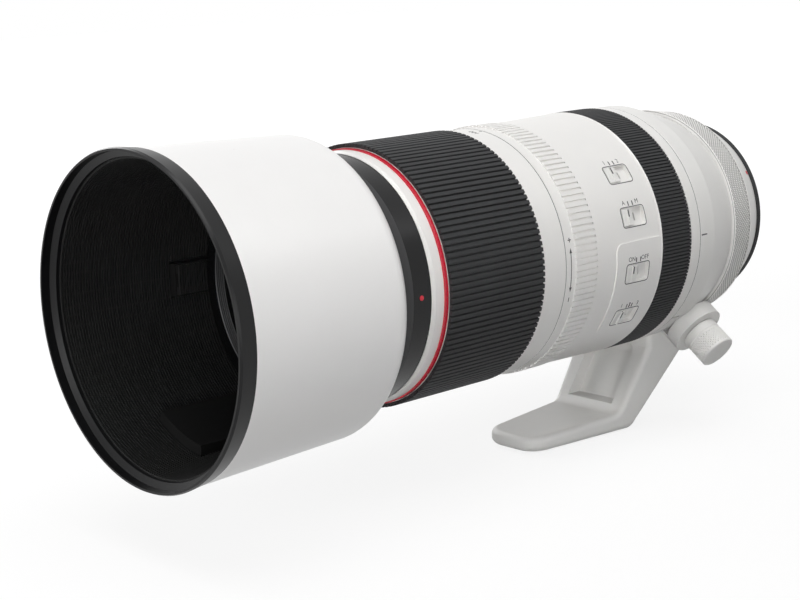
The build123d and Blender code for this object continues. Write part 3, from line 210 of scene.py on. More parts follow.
def turnedMetal(name, colour, feed, depth, roughness):
    # metal off the lathe: fine rings along the axis, and a satin sheen across them
    material, tree, shader = newMaterial(name, {"Metallic": 1.0, "Base Color": hexColour(colour)})
    place = addNode(tree, "ShaderNodeTexCoord").outputs["Object"]
    wave = addNode(tree, "ShaderNodeTexWave",
                   {"wave_type": "BANDS", "bands_direction": "X", "wave_profile": "TRI"},
                   {"Scale": perSize(feed) / waveRate, "Distortion": 0.6, "Detail": 2.0},
                   {"Vector": place}).outputs["Fac"]
    giveSurface(tree, shader, roughness=(wave, roughness), relief=(wave, depth))
    return material


glass = {"tint": "f4fbf8", "filmNanometres": 130.0, "filmIor": 1.38, "dustAndShade": 6.0, "roughness": (0.0, 0.02)}


def coatedGlass():
    # optical glass, polished, with an antireflection coating: clear, with a faint green and purple flare
    material, tree, shader = newMaterial("opticalGlassCoated", {
        "Base Color": hexColour(glass["tint"]), "IOR": 1.6, "Transmission Weight": 1.0,
        "Thin Film Thickness": glass["filmNanometres"], "Thin Film IOR": glass["filmIor"]})
    place = addNode(tree, "ShaderNodeTexCoord").outputs["Object"]
    dustAndShade = addNode(tree, "ShaderNodeTexNoise", values={"Scale": perSize(glass["dustAndShade"]), "Detail": 4.0},
                   links={"Vector": place})
    giveSurface(tree, shader, roughness=(dustAndShade.outputs["Fac"], glass["roughness"]))
    return material


# A pattern of tracks 0.24 mm wide round islands of 6 by 2.4 mm, given as shares of 20 mm
board = {"masks": ("1f5a3c", "1c5137"), "track": "4d8a5f", "unit": 20.0, "trackShare": 0.012,
         "lengthShare": 0.3, "widthShare": 0.12, "trackHeight": 0.03, "roughness": (0.36, 0.3)}


def circuitLaminate():
    # glass-epoxy circuit laminate under green solder mask, with pale copper tracks showing through
    material, tree, shader = newMaterial("epoxyGlassLaminate", {"IOR": 1.55})
    place = addNode(tree, "ShaderNodeTexCoord").outputs["Object"]
    first, second = map(hexColour, board["masks"])
    tracks = addNode(tree, "ShaderNodeTexBrick", {"offset": 0.5, "squash": 1.0},
                     {"Color1": first, "Color2": second, "Mortar": hexColour(board["track"]),
                      "Scale": perSize(board["unit"]), "Mortar Size": board["trackShare"],
                      "Brick Width": board["lengthShare"], "Row Height": board["widthShare"]},
                     {"Vector": place}).outputs
    tree.links.new(tracks["Color"], shader.inputs["Base Color"])
    giveSurface(tree, shader, roughness=(tracks["Fac"], board["roughness"]),
                relief=(tracks["Fac"], board["trackHeight"]))
    return material


# The bead-blasted band is the part of the ring within half its width of its middle
frontBand = {"middle": 194.15, "half": 3.85, "tones": ("0e0e0f", "39393a"), "roughness": (0.24, 0.6),
             "grain": 0.3, "depth": 0.008}


def frontRingFinish():
    # one turned aluminium ring in two finishes: bead-blasted dark in the band, glossy black elsewhere
    size = frontBand
    material, tree, shader = newMaterial("aluminiumTwoFinishes", {"IOR": 1.5, "Specular IOR Level": 0.24})
    place = addNode(tree, "ShaderNodeTexCoord").outputs["Object"]
    axes = addNode(tree, "ShaderNodeSeparateXYZ", links={"Vector": place})
    band = addNode(tree, "ShaderNodeMath", {"operation": "COMPARE"},
                   {1: -size["middle"] * mm, 2: size["half"] * mm}, {0: axes.outputs["X"]})
    blast = addNode(tree, "ShaderNodeTexNoise", values={"Scale": perSize(size["grain"]), "Detail": 3.0},
                    links={"Vector": place})
    inBand = band.outputs["Value"]
    giveSurface(tree, shader, (inBand, size["tones"]), (inBand, size["roughness"]),
                (blast.outputs["Fac"], size["depth"]))
    return material


materials = {slot: painted(**finish) for slot, finish in paints.items()}
materials.update({slot: turnedMetal(**finish) for slot, finish in metals.items()})
materials["coated_glass"] = coatedGlass()
materials["circuit_laminate"] = circuitLaminate()
for part in frame["record"]["subparts"]:
    mesh = cad[part["node"]].data
    mesh.materials.clear()
    mesh.materials.append(materials[part["material_slot"]])
cad["front_ring"].data.materials[0] = frontRingFinish()
inkGrey, fillRed, ribResinPaintedLit = (painted(**finish) for finish in marks.values())
print("finishes", len(materials) + len(marks) + 1)

# A ray that looks for a surface starts this far out; where it meets nothing, the barrel's radius stands in
rays = {"start": 60, "missed": 44}


def radiusAt(node, station, angle):
    # where a ray towards the lens axis meets the CAD piece, station in millimetres and angle in radians
    way = Vector((0, -math.sin(angle), math.cos(angle)))
    begin = Vector((-station * mm, 0, 0)) + way * rays["start"] * mm
    hit, place = cad[node].ray_cast(begin, -way)[:2]
    return Vector((0, place.y, place.z)).length if hit else rays["missed"] * mm


def clearSelection():
    if bpy.context.object and bpy.context.object.mode != "OBJECT":
        bpy.ops.object.mode_set(mode="OBJECT")
    bpy.ops.object.select_all(action="DESELECT")


def takeOnly(piece):
    clearSelection()
    piece.select_set(True)
    bpy.context.view_layer.objects.active = piece


def selectFaces(piece, wanted):
    # in edit mode: leaves only the faces selected for which wanted says yes
    edit = bmesh.from_edit_mesh(piece.data)
    bpy.ops.mesh.select_mode(type="FACE")
    for face in edit.faces:
        face.select_set(wanted(face))
    edit.select_flush_mode()
    bmesh.update_edit_mesh(piece.data)


def selectEdges(piece, wanted):
    edit = bmesh.from_edit_mesh(piece.data)
    bpy.ops.mesh.select_mode(type="EDGE")
    for edge in edit.edges:
        edge.select_set(wanted(edge))
    bmesh.update_edit_mesh(piece.data)


# Points nearer together than this are one point, in millimetres
samePoint = {"turned": 0.0005, "letters": 0.002}


def closeUp(piece, tolerance=samePoint["turned"]):
    # merges doubles and turns the faces outwards
    takeOnly(piece)
    bpy.ops.object.mode_set(mode="EDIT")
    bpy.ops.mesh.select_mode(type="VERT")
    bpy.ops.mesh.select_all(action="SELECT")
    bpy.ops.mesh.remove_doubles(threshold=tolerance * mm)
    bpy.ops.mesh.normals_make_consistent(inside=False)
    bpy.ops.object.mode_set(mode="OBJECT")


def turnPiece(name, outline, steps, arc=None, closed=True):
    # draws an outline of (station, radius) points one by one and spins it round the lens axis;
    # arc is the first and last angle in degrees, and without it the piece goes all round
    start, end = arc or (0, 360)
    lean = math.radians(start)
    across = Vector((0, -math.sin(lean), math.cos(lean)))
    station, radius = outline[0]
    clearSelection()
    bpy.ops.mesh.primitive_plane_add(size=mm, location=Vector((-station * mm, 0, 0)) + across * radius * mm)
    piece = bpy.context.object
    piece.name = name
    bpy.ops.object.mode_set(mode="EDIT")
    bpy.ops.mesh.select_mode(type="VERT")
    bpy.ops.mesh.select_all(action="SELECT")
    bpy.ops.mesh.merge(type="CENTER")
    points = outline + [outline[0]] if closed else outline
    for here, there in zip(points, points[1:]):
        step = Vector(((here[0] - there[0]) * mm, 0, 0)) + across * (there[1] - here[1]) * mm
        bpy.ops.mesh.extrude_vertices_move(TRANSFORM_OT_translate={"value": step})
    bpy.ops.mesh.select_all(action="SELECT")
    if closed:
        bpy.ops.mesh.remove_doubles(threshold=samePoint["turned"] * mm)
    if arc:
        bpy.ops.mesh.edge_face_add()
    bpy.ops.mesh.spin(steps=steps, angle=math.radians(start - end), center=(0, 0, 0), axis=(1, 0, 0))
    bpy.ops.object.mode_set(mode="OBJECT")
    bpy.ops.object.transform_apply(location=True, rotation=True, scale=True)
    closeUp(piece)
    return piece


def finishPiece(piece, body, slot, material=None, sharp=30):
    # smooth shading that keeps corners over so many degrees sharp, the finish, and what it moves with
    takeOnly(piece)
    bpy.ops.object.transform_apply(location=True, rotation=True, scale=True)
    bpy.ops.object.shade_smooth_by_angle(angle=math.radians(sharp))
    piece.data.materials.clear()
    piece.data.materials.append(material or materials[slot])
    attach(piece, body)


def joinPieces(name, pieces):
    takeOnly(pieces[0])
    for piece in pieces:
        piece.select_set(True)
    bpy.ops.object.join()
    bpy.context.object.name = name
    return bpy.context.object


# Inside of the hood: fine rings that trap stray light, left out where the tray and the lock are. Rows are
# counted from the rear, angles are in degrees, and steps are the facets round each arc.
hoodRibs = {"rear": 204.4, "front": 261.7, "pitch": 1.0, "depth": 0.8, "land": 0.26, "back": 0.3,
            "overlap": 0.01, "wallStation": 197.7, "wallR": 47.65, "slope": 0.03543, "tray": (185.6, 214.4),
            "trayRows": 37, "lock": (262.4, 277.6), "lockRows": 15, "lockR": 45.05, "lockFace": (263.6, 276.4),
            "lockEnds": (206.4, 218.4)}
ribSteps = {"front": 144, "middle": 132, "rearHigh": 104, "rearLow": 20, "onLock": 6}


def ribOutline(rear, front, level=None):
    # square ribs along the liner, or on a level face, then back inside the liner's wall
    size = hoodRibs

    def wall(station):
        return level or size["wallR"] + size["slope"] * (station - size["wallStation"])
    points = []
    count = int((front - rear) / size["pitch"] + size["overlap"])
    for index in range(count):
        here = rear + index * size["pitch"]
        there = here + size["land"]
        crest = wall(here) - size["depth"]
        points += [(here, wall(here)), (here, crest), (there, crest), (there, wall(there))]
    last = rear + count * size["pitch"]
    return points + [(last, wall(last)), (last, wall(last) + size["back"]), (rear, wall(rear) + size["back"])]


def hoodInterior():
    size = hoodRibs
    trayStart, trayEnd = size["tray"]
    lockStart, lockEnd = size["lock"]
    rearEnd = size["rear"] + size["lockRows"] * size["pitch"]
    middleEnd = size["rear"] + size["trayRows"] * size["pitch"]
    frontBand = ribOutline(middleEnd, size["front"])
    middleBand = ribOutline(rearEnd, middleEnd + size["overlap"])
    rearBand = ribOutline(size["rear"], rearEnd + size["overlap"])
    lockBand = ribOutline(*size["lockEnds"], size["lockR"])
    parts = [turnPiece("ribsFront", frontBand, ribSteps["front"]),
             turnPiece("ribsMiddle", middleBand, ribSteps["middle"], (trayEnd, trayStart + 360)),
             turnPiece("ribsRearHigh", rearBand, ribSteps["rearHigh"], (lockEnd, trayStart + 360)),
             turnPiece("ribsRearLow", rearBand, ribSteps["rearLow"], (trayEnd, lockStart)),
             turnPiece("ribsOnLock", lockBand, ribSteps["onLock"], size["lockFace"])]
    finishPiece(joinPieces("hood_interior_ribs", parts), "hood", "black_resin", ribResinPaintedLit, sharp=12)


hoodInterior()
print("hood interior")

# Filter thread in the front ring: each turn rises to a narrow crest, and its back lies in the ring's metal
thread = {"rear": 203.4, "front": 207.3, "pitch": 0.75, "tip": 38.1, "root": 38.55, "crest": (0.3, 0.42),
          "back": 0.2, "steps": 160}


def filterThread():
    size = thread
    points = []
    turns = int((size["front"] - size["rear"]) / size["pitch"])
    crestStart, crestEnd = size["crest"]
    for index in range(turns):
        here = size["rear"] + index * size["pitch"]
        points += [(here, size["root"]), (here + crestStart, size["tip"]), (here + crestEnd, size["tip"])]
    last = size["rear"] + turns * size["pitch"]
    buried = size["root"] + size["back"]
    points += [(last, size["root"]), (last, buried), (size["rear"], buried)]
    finishPiece(turnPiece("filter_thread", points, size["steps"]), "front_barrel", "black_anodised", sharp=20)


filterThread()
print("filter thread")

# A knurl is cut into square faces. Points this far outside its band still count as in it, and those this far
# inside are off its edge. Rows and columns are told apart by millimetres along the axis and radians round it.
knurlCheck = {"outside": -0.01, "inside": 0.05, "row": 0.02, "column": 0.0005}


def knurl(piece, first, last, height):
    # cuts diamonds into a band of square faces: poke, dissolve the square lines, poke again outwards
    def inBand(place, slack=0.0):
        return first + slack < -place.x / mm < last - slack

    def outward(face):
        middle = face.calc_center_median()
        return face.normal.dot(Vector((0, middle.y, middle.z)).normalized()) > 0.5

    def squareLine(edge):
        a, b = edge.verts[0].co, edge.verts[1].co
        if not (inBand(a, knurlCheck["outside"]) and inBand(b, knurlCheck["outside"])):
            return False
        if not all(len(face.verts) == 3 for face in edge.link_faces):
            return False
        turn = math.atan2(a.y, a.z) - math.atan2(b.y, b.z)
        sameRow = abs(a.x - b.x) < knurlCheck["row"] * mm
        sameColumn = abs((turn + math.pi) % (2 * math.pi) - math.pi) < knurlCheck["column"]
        return sameRow != sameColumn and (sameColumn or inBand(a, knurlCheck["inside"]))

    def diamond(face):
        inside = inBand(face.calc_center_median(), knurlCheck["inside"])
        return len(face.verts) == 4 and inside and outward(face)
    takeOnly(piece)
    bpy.ops.object.mode_set(mode="EDIT")
    selectFaces(piece, lambda face: inBand(face.calc_center_median()) and outward(face))
    bpy.ops.mesh.poke()
    selectEdges(piece, squareLine)
    bpy.ops.mesh.dissolve_edges(use_verts=False)
    selectFaces(piece, diamond)
    bpy.ops.mesh.poke(offset=height * mm)
    bpy.ops.object.mode_set(mode="OBJECT")


# Control ring: a turned ring, slightly conical, with a diamond knurl cut all round it
controlKnurl = {"rear": 12.9, "front": 25.2, "bore": 36.7, "rearR": 40.1, "frontR": 41.8, "rearEdge": 0.7,
                "frontEdge": 0.4, "rearBevel": 0.4, "frontBevel": 0.2, "step": 0.1, "rows": 8, "columns": 174,
                "height": 0.5, "sink": 0.52}
# Its paint: painted shade, grey in the grooves, starts and is full at these depths below the cone, and the
# white end faces lie deeper
knurlPaint = {"tones": ("f0efed", "9b9a98"), "shadeFrom": 0.16, "shadeFull": 0.48, "deepest": 0.6, "peel": 0.4,
              "peelDepth": 0.006, "roughness": 0.42}


def knurledFinish():
    # white enamel over a cut knurl, with painted shade: the grooves are painted grey by their depth below the
    # cone
    ring, size = controlKnurl, knurlPaint
    finish = {"IOR": 1.5, "Roughness": size["roughness"]}
    material, tree, shader = newMaterial("enamelOverKnurledAluminium", finish)
    place = addNode(tree, "ShaderNodeTexCoord").outputs["Object"]
    axes = addNode(tree, "ShaderNodeSeparateXYZ", links={"Vector": place})
    flat = addNode(tree, "ShaderNodeVectorMath", {"operation": "MULTIPLY"}, {1: (0, 1, 1)}, {0: place})
    radius = addNode(tree, "ShaderNodeVectorMath", {"operation": "LENGTH"}, links={0: flat.outputs["Vector"]})
    taper = (ring["frontR"] - ring["rearR"]) / (ring["front"] - ring["rear"])
    cone = addNode(tree, "ShaderNodeMath", {"operation": "MULTIPLY_ADD"},
                   {1: -taper, 2: (ring["rearR"] - taper * ring["rear"]) * mm}, {0: axes.outputs["X"]})
    depth = addNode(tree, "ShaderNodeMath", {"operation": "SUBTRACT"},
                    links={0: cone.outputs["Value"], 1: radius.outputs["Value"]})
    # painted shade: grey that grows with depth below the cone, standing in for the shade that falls in the
    # knurl's grooves
    grooveShade = addNode(tree, "ShaderNodeMapRange",
                     values={"From Min": size["shadeFrom"] * mm, "From Max": size["shadeFull"] * mm},
                     links={"Value": depth.outputs["Value"]})
    shallow = addNode(tree, "ShaderNodeMath", {"operation": "LESS_THAN"}, {1: size["deepest"] * mm},
                      {0: depth.outputs["Value"]})
    dustAndShade = addNode(tree, "ShaderNodeMath", {"operation": "MULTIPLY"},
                   links={0: grooveShade.outputs["Result"], 1: shallow.outputs["Value"]})
    peel = addNode(tree, "ShaderNodeTexNoise", values={"Scale": perSize(size["peel"]), "Detail": 2.0},
                   links={"Vector": place})
    giveSurface(tree, shader, (dustAndShade.outputs["Value"], size["tones"]),
                relief=(peel.outputs["Fac"], size["peelDepth"]))
    return material


def controlRing():
    size = controlKnurl
    rear, front, step = size["rear"], size["front"], size["step"]
    rearBevel, frontBevel = size["rearBevel"], size["frontBevel"]

    def outer(station):
        return size["rearR"] + (size["frontR"] - size["rearR"]) * (station - rear) / (front - rear)
    first, last = rear + size["rearEdge"], front - size["frontEdge"]
    rows = [first + (last - first) * index / size["rows"] for index in range(size["rows"] + 1)]
    points = [(rear, size["bore"]), (rear, size["rearR"] - rearBevel),
              (rear + rearBevel, outer(rear + rearBevel)), (first - step, outer(first - step))]
    points += [(station, outer(station) - size["sink"]) for station in rows]
    points += [(last + step, outer(last + step)), (front - frontBevel, outer(front - frontBevel)),
               (front, size["frontR"] - frontBevel), (front, size["bore"])]
    ring = turnPiece("control_ring_knurled", points, size["columns"])
    knurl(ring, first, last, size["height"])
    closeUp(ring)
    finishPiece(ring, "control", "white_anodised", knurledFinish(), sharp=16)
    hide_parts("control_ring")


controlRing()
print("control ring")

# Clamp knob: plain shank, knurled grip and a flat end. It stands beside the lens axis, on an axis of its own
# that leans so many degrees from the top; reach is how far out its inner end is.
knobSizes = {"station": 34.0, "lean": 127.0, "offset": 13.0, "reach": 49.25, "length": 11.4, "plainR": 7.05,
             "gripR": 6.7, "gripStart": 3.9, "gripEnd": 10.4, "edge": 0.35, "rows": 5, "columns": 34,
             "knurlHeight": 0.42}


def knobPlace():
    # turns what was drawn round the lens axis onto the knob's own axis
    lean = math.radians(knobSizes["lean"])
    outwards = Vector((0, -math.sin(lean), math.cos(lean)))
    beside = Vector((0, math.cos(lean), math.sin(lean)))
    place = Matrix((outwards * -1, beside, Vector((1, 0, 0)))).transposed().to_4x4()
    place.translation = Vector((-knobSizes["station"] * mm, 0, 0)) - beside * knobSizes["offset"] * mm
    return place


def clampKnob():
    size = knobSizes
    edge, plain = size["edge"], size["plainR"]
    low, high = size["reach"], size["reach"] + size["length"]
    first, last = low + size["gripStart"], low + size["gripEnd"]
    rows = [first + (last - first) * index / size["rows"] for index in range(size["rows"] + 1)]
    points = [(low, 0), (low, plain - edge), (low + edge, plain), (first - 2 * edge, plain),
              (first - edge, plain - edge)]
    points += [(station, size["gripR"]) for station in rows]
    points += [(last + edge / 2, plain), (high - edge, plain), (high, plain - edge), (high, 0)]
    knob = turnPiece("collar_knob_knurled", points, size["columns"], closed=False)
    knurl(knob, first, last, size["knurlHeight"])
    closeUp(knob)
    knob.matrix_world = knobPlace()
    finishPiece(knob, "knob", "white_casting", sharp=22)
    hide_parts("collar_knob")


clampKnob()
print("clamp knob")


def layOn(piece, node, station, angle, spin=0):
    # wraps a flat mark round the lens: its X runs towards the mount, its Y towards the top, its Z outwards;
    # spin turns the mark in its own plane first, in degrees
    middle = math.radians(angle)
    radius = radiusAt(node, station, middle)
    cosine, sine = math.cos(math.radians(spin)), math.sin(math.radians(spin))
    for vertex in piece.data.vertices:
        along = vertex.co.x * cosine - vertex.co.y * sine
        up = vertex.co.x * sine + vertex.co.y * cosine
        turn = middle - up / radius
        reach = radiusAt(node, station - along / mm, turn) + vertex.co.z
        vertex.co = Vector((along - station * mm, -math.sin(turn) * reach, math.cos(turn) * reach))
    piece.data.update()


# Printing: half of a line's height stands above the surface, and letters rise as far. A line is cut into pieces
# to follow the surface, its corners are a share of its width, and an arrow's heads are stretched along it.
ink = {"height": 0.06, "letterRise": 0.03, "letterSteps": 3, "piece": 1.5, "corner": 0.3,
       "headStretch": (1.3, 0.8, 1)}


def drawText(words, size):
    # flat letters, made a mesh
    clearSelection()
    bpy.ops.object.text_add(location=(0, 0, 0))
    letters = bpy.context.object
    letters.data.body = words
    letters.data.size = size * mm
    letters.data.align_x = "CENTER"
    letters.data.align_y = "CENTER"
    letters.data.extrude = ink["letterRise"] * mm
    letters.data.resolution_u = ink["letterSteps"]
    bpy.ops.object.convert(target="MESH")
    letters = bpy.context.object
    closeUp(letters, samePoint["letters"])
    return letters


def upright(edge):
    # an edge through the thickness of a flat plate
    return abs(edge.verts[0].co.z - edge.verts[1].co.z) > 0.01 * mm


def drawPlate(length, width, height, corner, segments):
    # a thin plate with round corners, left in edit mode
    clearSelection()
    bpy.ops.mesh.primitive_cube_add(size=1, location=(0, 0, 0), scale=(length * mm, width * mm, height * mm))
    plate = bpy.context.object
    bpy.ops.object.transform_apply(location=True, rotation=True, scale=True)
    bpy.ops.object.mode_set(mode="EDIT")
    selectEdges(plate, upright)
    bpy.ops.mesh.bevel(offset=corner * mm, segments=segments, affect="EDGES")
    return plate


def drawBar(length, width, head=0.0, piece=ink["piece"], height=ink["height"]):
    # a printed line along its own X, with an arrow head at each end if asked
    bar = drawPlate(length, width, height, width * ink["corner"], 2)
    cuts = max(1, int(length / piece))
    for index in range(1, cuts):
        bpy.ops.mesh.select_all(action="SELECT")
        bpy.ops.mesh.bisect(plane_co=((index / cuts - 0.5) * length * mm, 0, 0), plane_no=(1, 0, 0))
    bpy.ops.object.mode_set(mode="OBJECT")
    parts = [bar]
    for side in (-1, 1) if head else ():
        end = side * length / 2 * mm
        bpy.ops.mesh.primitive_cylinder_add(vertices=3, radius=head * mm, depth=ink["height"] * mm,
                                            location=(end, 0, 0), rotation=(0, 0, -side * math.pi / 2))
        bpy.ops.object.transform_apply(location=True, rotation=True, scale=True)
        bpy.ops.object.mode_set(mode="EDIT")
        bpy.ops.mesh.select_all(action="SELECT")
        bpy.ops.transform.resize(value=ink["headStretch"], center_override=(end, 0, 0))
        bpy.ops.object.mode_set(mode="OBJECT")
        parts.append(bpy.context.object)
    return joinPieces("bar", parts) if len(parts) > 1 else bar


def drawGapShadeFrame(length, width, corner, line):
    # a thin dark outline with round corners, painted shade of the gap round a switch window: a plate with its
    # middle taken out, cut to follow the surface
    outline = drawPlate(length + 2 * line, width + 2 * line, ink["height"], corner + line, 5)
    selectFaces(outline, lambda face: abs(face.normal.z) > 0.9)
    bpy.ops.mesh.inset(thickness=line * mm)
    bpy.ops.mesh.bridge_edge_loops()
    for step in (-2, -1, 0, 1, 2):
        bpy.ops.mesh.select_all(action="SELECT")
        bpy.ops.mesh.bisect(plane_co=(0, step * width / 6 * mm, 0), plane_no=(0, 1, 0))
    bpy.ops.object.mode_set(mode="OBJECT")
    return outline


# The dome of a drop of enamel: how far each of its two rings lies inside the last and how far it rises, as
# shares of the radius and of the height
dotDome = ((0.25, 0.4), (0.3, 0.15))


def drawDot(radius, height):
    # a drop of enamel in a drilled spot: low, round and slightly domed
    clearSelection()
    bpy.ops.mesh.primitive_cylinder_add(vertices=28, radius=radius * mm, depth=height * mm,
                                        location=(0, 0, height / 2 * mm))
    dot = bpy.context.object
    bpy.ops.object.transform_apply(location=True, rotation=True, scale=True)
    bpy.ops.object.mode_set(mode="EDIT")
    selectFaces(dot, lambda face: face.normal.z > 0.9)
    for inset, rise in dotDome:
        bpy.ops.mesh.inset(thickness=radius * inset * mm)
        bpy.ops.transform.translate(value=(0, 0, height * rise * mm))
    bpy.ops.object.mode_set(mode="OBJECT")
    return dot


# Generic marks at the four switches, printed towards the top of each window, with a tick below each word. Spans
# are how far two or three words reach to each side; window is the length, width, corner and line of the dark
# outline round each window, which is painted shade of the window's gap.
switchMarks = {"station": 85.7, "angles": (53.5, 74.0, 99.5, 122.0), "rise": 6.6, "size": 2.3,
               "words": (("1", "2"), ("A", "M"), ("ON", "OFF"), ("1", "2", "3")), "spans": {2: 3.4, 3: 4.2},
               "tick": (1.7, 0.5), "tickShare": 0.32, "tickDrop": 0.5, "window": (11.8, 6.4, 1.0, 0.3)}


def switchPrintAndGapShade():
    size = switchMarks
    parts = []
    for angle, words in zip(size["angles"], size["words"]):
        span = size["spans"][len(words)]
        for index, word in enumerate(words):
            share = index / (len(words) - 1) * 2 - 1
            mark = drawText(word, size["size"])
            layOn(mark, "switch_housing", size["station"] - share * span, angle - size["rise"])
            tick = drawBar(*size["tick"])
            layOn(tick, "switch_housing", size["station"] - share * span * size["tickShare"],
                  angle - size["rise"] + size["tickDrop"], 90)
            parts += [mark, tick]
        # the dark outline round the window is painted shade of its gap, in the ink's grey
        outline = drawGapShadeFrame(*size["window"])
        layOn(outline, "switch_housing", size["station"], angle)
        parts.append(outline)
    finishPiece(joinPieces("switch_print_and_gap_shade", parts), "barrel", "black_enamel", inkGrey)


switchPrintAndGapShade()

# The black line on each lever, from its middle to the edge under the words
leverLine = {"station": 88.6, "length": 2.8, "width": 0.55, "height": 0.16, "piece": 0.3, "rise": 1.9}
leverBodies = {"limiter_lever": "limiter_switch", "focus_mode_lever": "focus_mode_switch",
               "stabiliser_lever": "stabiliser_switch", "stabiliser_mode_lever": "stabiliser_mode_switch"}


def leverLines():
    size = leverLine
    for (lever, body), angle in zip(leverBodies.items(), switchMarks["angles"]):
        line = drawBar(size["length"], size["width"], piece=size["piece"], height=size["height"])
        layOn(line, lever, size["station"], angle - size["rise"], 90)
        finishPiece(line, body, "black_enamel", inkGrey)
        line.name = lever + "_line"


leverLines()

# Torque ring: a double arrow round the ring between a minus and a plus, which is two lines across each other
torqueMarks = {"station": 119.5, "middle": 92.0, "arrow": (13.0, 0.35, 0.9), "sign": (1.6, 0.35),
               "signs": ((13.5, 90), (-13.5, 90), (-13.5, 0))}


def torquePrinting():
    size = torqueMarks
    arrow = drawBar(*size["arrow"])
    layOn(arrow, "torque_ring", size["station"], size["middle"], 90)
    parts = [arrow]
    for offset, spin in size["signs"]:
        sign = drawBar(*size["sign"])
        layOn(sign, "torque_ring", size["station"], size["middle"] + offset, spin)
        parts.append(sign)
    finishPiece(joinPieces("torque_printing", parts), "torque", "black_enamel", inkGrey)


torquePrinting()

# Zoom ring: plain focal numbers round the band, each with a line, at the turn in degrees where it is reached
zoomMarks = {"station": 126.2, "size": 2.9, "lineStation": 123.2, "line": (1.5, 0.3), "start": 8.0,
             "numbers": ((0, "100"), (14, "135"), (30, "200"), (48, "300"), (62, "400"), (75, "500"))}


def zoomPrinting():
    size = zoomMarks
    parts = []
    for turn, number in size["numbers"]:
        angle = size["start"] - turn
        mark = drawText(number, size["size"])
        layOn(mark, "zoom_ring", size["station"], angle, 90)
        line = drawBar(*size["line"])
        layOn(line, "zoom_ring", size["lineStation"], angle)
        parts += [mark, line]
    finishPiece(joinPieces("zoom_printing", parts), "zoom", "black_enamel", inkGrey)


zoomPrinting()

# The upright line of the tripod collar
collarLine = {"station": 48.1, "angle": 89.0, "length": 3.2, "width": 0.5}


def collarIndex():
    size = collarLine
    line = drawBar(size["length"], size["width"])
    layOn(line, "tripod_collar", size["station"], size["angle"])
    finishPiece(line, "collar", "black_enamel", inkGrey)
    line.name = "collar_line"


collarIndex()

# Two red mounting dots, one for the hood and one for the camera
indexDots = {"hood_index_dot": {"node": "front_ring", "body": "front_barrel", "station": 186.7, "angle": 90.1,
                                "radius": 0.85, "height": 0.12},
             "mount_index_dot": {"node": "rear_barrel", "body": "barrel", "station": 3.8, "angle": 61.0,
                                 "radius": 0.8, "height": 0.2}}


def mountingDots():
    for name, size in indexDots.items():
        dot = drawDot(size["radius"], size["height"])
        layOn(dot, size["node"], size["station"], size["angle"])
        finishPiece(dot, size["body"], "red_enamel", fillRed)
        dot.name = name


mountingDots()
print("printing and marks")

# Thin dark rings with a blunt outer edge, set in two of the gaps between turning rings as painted shade of
# those gaps
gapShadeRings = {"collar_gap_shade_ring": {"rear": 50.42, "front": 50.68, "outer": 45.05, "inner": 42.2},
              "torque_gap_shade_ring": {"rear": 121.83, "front": 122.07, "outer": 44.05, "inner": 42.7}}
gapShadeEdge, gapShadeSteps = 0.05, 120


def gapShadeRing(name, rear, front, outer, inner):
    edge = outer - gapShadeEdge
    points = [(rear, inner), (rear, edge), ((rear + front) / 2, outer), (front, edge), (front, inner)]
    finishPiece(turnPiece(name, points, gapShadeSteps), "barrel", "black_rubber", sharp=60)


for name, size in gapShadeRings.items():
    gapShadeRing(name, **size)
print("slide rings")

# Floor and backdrop, in metres. The floor glows a little less near the lens than further off, so that the
# soft shadow shows, and ambient is how much light the white world gives.
stageSizes = {"floor": 6.0, "place": (-0.13, 0, -0.0765), "tone": "6e6e6e", "glow": (0.84, 1.0),
              "glowReach": (0.3, 1.0), "ambient": 0.13}


def seenDirectly(tree):
    # 1 for rays from the camera, off a gloss or through glass, which all see the white backdrop, and 0 for
    # rays that only bring light
    light = addNode(tree, "ShaderNodeLightPath").outputs
    first = addNode(tree, "ShaderNodeMath", {"operation": "MAXIMUM"},
                    links={0: light["Is Camera Ray"], 1: light["Is Transmission Ray"]})
    both = addNode(tree, "ShaderNodeMath", {"operation": "MAXIMUM"},
                   links={0: first.outputs["Value"], 1: light["Is Glossy Ray"]})
    return both.outputs["Value"]


def floorMaterial():
    # white paper sweep: it keeps the lens's soft shadow near it, and is evenly white further off
    material, tree, shader = newMaterial("paperSweepWhite", {
        "Base Color": hexColour(stageSizes["tone"]), "Roughness": 0.9, "Specular IOR Level": 0.1,
        "Emission Color": (1, 1, 1, 1)})
    place = addNode(tree, "ShaderNodeTexCoord").outputs["Object"]
    away = addNode(tree, "ShaderNodeVectorMath", {"operation": "LENGTH"}, links={"Vector": place})
    near, far = stageSizes["glowReach"]
    low, high = stageSizes["glow"]
    glow = addNode(tree, "ShaderNodeMapRange",
                   values={"From Min": near, "From Max": far, "To Min": low, "To Max": high},
                   links={"Value": away.outputs["Value"]})
    seen = addNode(tree, "ShaderNodeMath", {"operation": "MULTIPLY"},
                   links={0: glow.outputs["Result"], 1: seenDirectly(tree)})
    tree.links.new(seen.outputs["Value"], shader.inputs["Emission Strength"])
    return material


def stage():
    clearSelection()
    bpy.ops.mesh.primitive_plane_add(size=stageSizes["floor"], location=stageSizes["place"])
    floor = bpy.context.object
    floor.name = "floor"
    floor.data.materials.append(floorMaterial())
    world = bpy.data.worlds.new("studioWorld")
    bpy.context.scene.world = world
    world.use_nodes = True
    tree = world.node_tree
    back = tree.nodes["Background"]
    back.inputs["Color"].default_value = (1, 1, 1, 1)
    level = addNode(tree, "ShaderNodeMapRange", values={"To Min": stageSizes["ambient"], "To Max": 1.0},
                    links={"Value": seenDirectly(tree)})
    tree.links.new(level.outputs["Result"], back.inputs["Strength"])


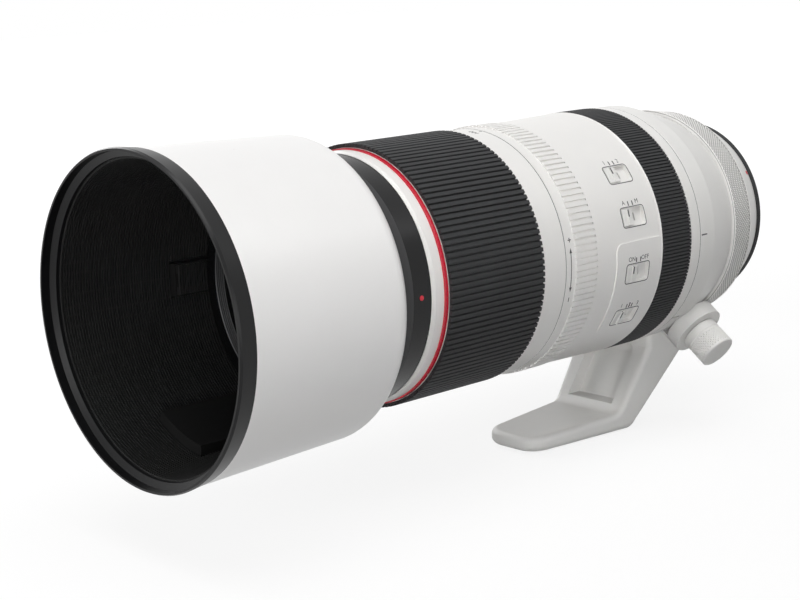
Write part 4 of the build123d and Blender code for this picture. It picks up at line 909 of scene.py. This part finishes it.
# Soft lamps, in metres, watts and degrees: one above, one behind the mount, two from the side and the
# front, one for the far side only, and a weak one with a narrow beam for the hood's lower front
lamps = {"keyAbove": {"place": (-0.3, -0.2, 0.9), "target": (-0.14, 0, 0), "size": (0.9, 0.7), "power": 6.4},
         "sideRear": {"place": (0.2, -0.5, 0.62), "target": (-0.16, 0, 0), "size": (0.4, 0.4), "power": 0.8},
         "fillSide": {"place": (-0.7, -0.65, 0.12), "target": (-0.2, 0, -0.02), "size": (0.6, 0.32),
                      "power": 1.1},
         "fillFront": {"place": (-1.1, -0.15, 0.18), "target": (-0.2, 0, -0.02), "size": (0.6, 0.4),
                       "power": 2.3},
         "fillFar": {"place": (-0.1, 0.9, 0.45), "target": (-0.14, 0, 0), "size": (0.8, 0.5), "power": 4.2},
         "gridOnHood": {"place": (-0.7, -0.6, -0.01), "target": (-0.23, -0.03, -0.04), "size": (0.4, 0.12),
                        "power": 0.1, "spread": 36}}


def softLight(name, place, target, size, power, spread=180):
    clearSelection()
    bpy.ops.object.light_add(type="AREA", location=place)
    lamp = bpy.context.object
    lamp.name = name
    lamp.data.shape = "RECTANGLE"
    lamp.data.size, lamp.data.size_y = size
    lamp.data.energy = power
    lamp.data.spread = math.radians(spread)
    lamp.rotation_euler = (Vector(target) - Vector(place)).to_track_quat("-Z", "Y").to_euler()


# Camera fitted to the photograph: lens and frame in millimetres, place and clipping in metres. Its axes are
# the directions of its right, its top and its back, rolled 3 degrees.
cameraFit = {"lens": 76.5, "frame": 36, "place": (-0.5400, -0.4224, 0.1091), "clip": (0.01, 20),
             "axes": ((0.7363, -0.6758, -0.0354), (0.1652, 0.1287, 0.9778), (-0.6563, -0.7258, 0.2063))}


def camera():
    bpy.ops.object.camera_add()
    cam = bpy.context.object
    cam.data.lens = cameraFit["lens"]
    cam.data.sensor_width = cameraFit["frame"]
    cam.data.sensor_fit = "HORIZONTAL"
    turned = Matrix(cameraFit["axes"]).transposed()
    cam.matrix_world = Matrix.Translation(cameraFit["place"]) @ turned.to_4x4()
    cam.data.clip_start, cam.data.clip_end = cameraFit["clip"]
    bpy.context.scene.camera = cam


stage()
for name, lamp in lamps.items():
    softLight(name, **lamp)
camera()
bpy.context.scene.view_settings.view_transform = "Standard"
print("stage, light and camera")
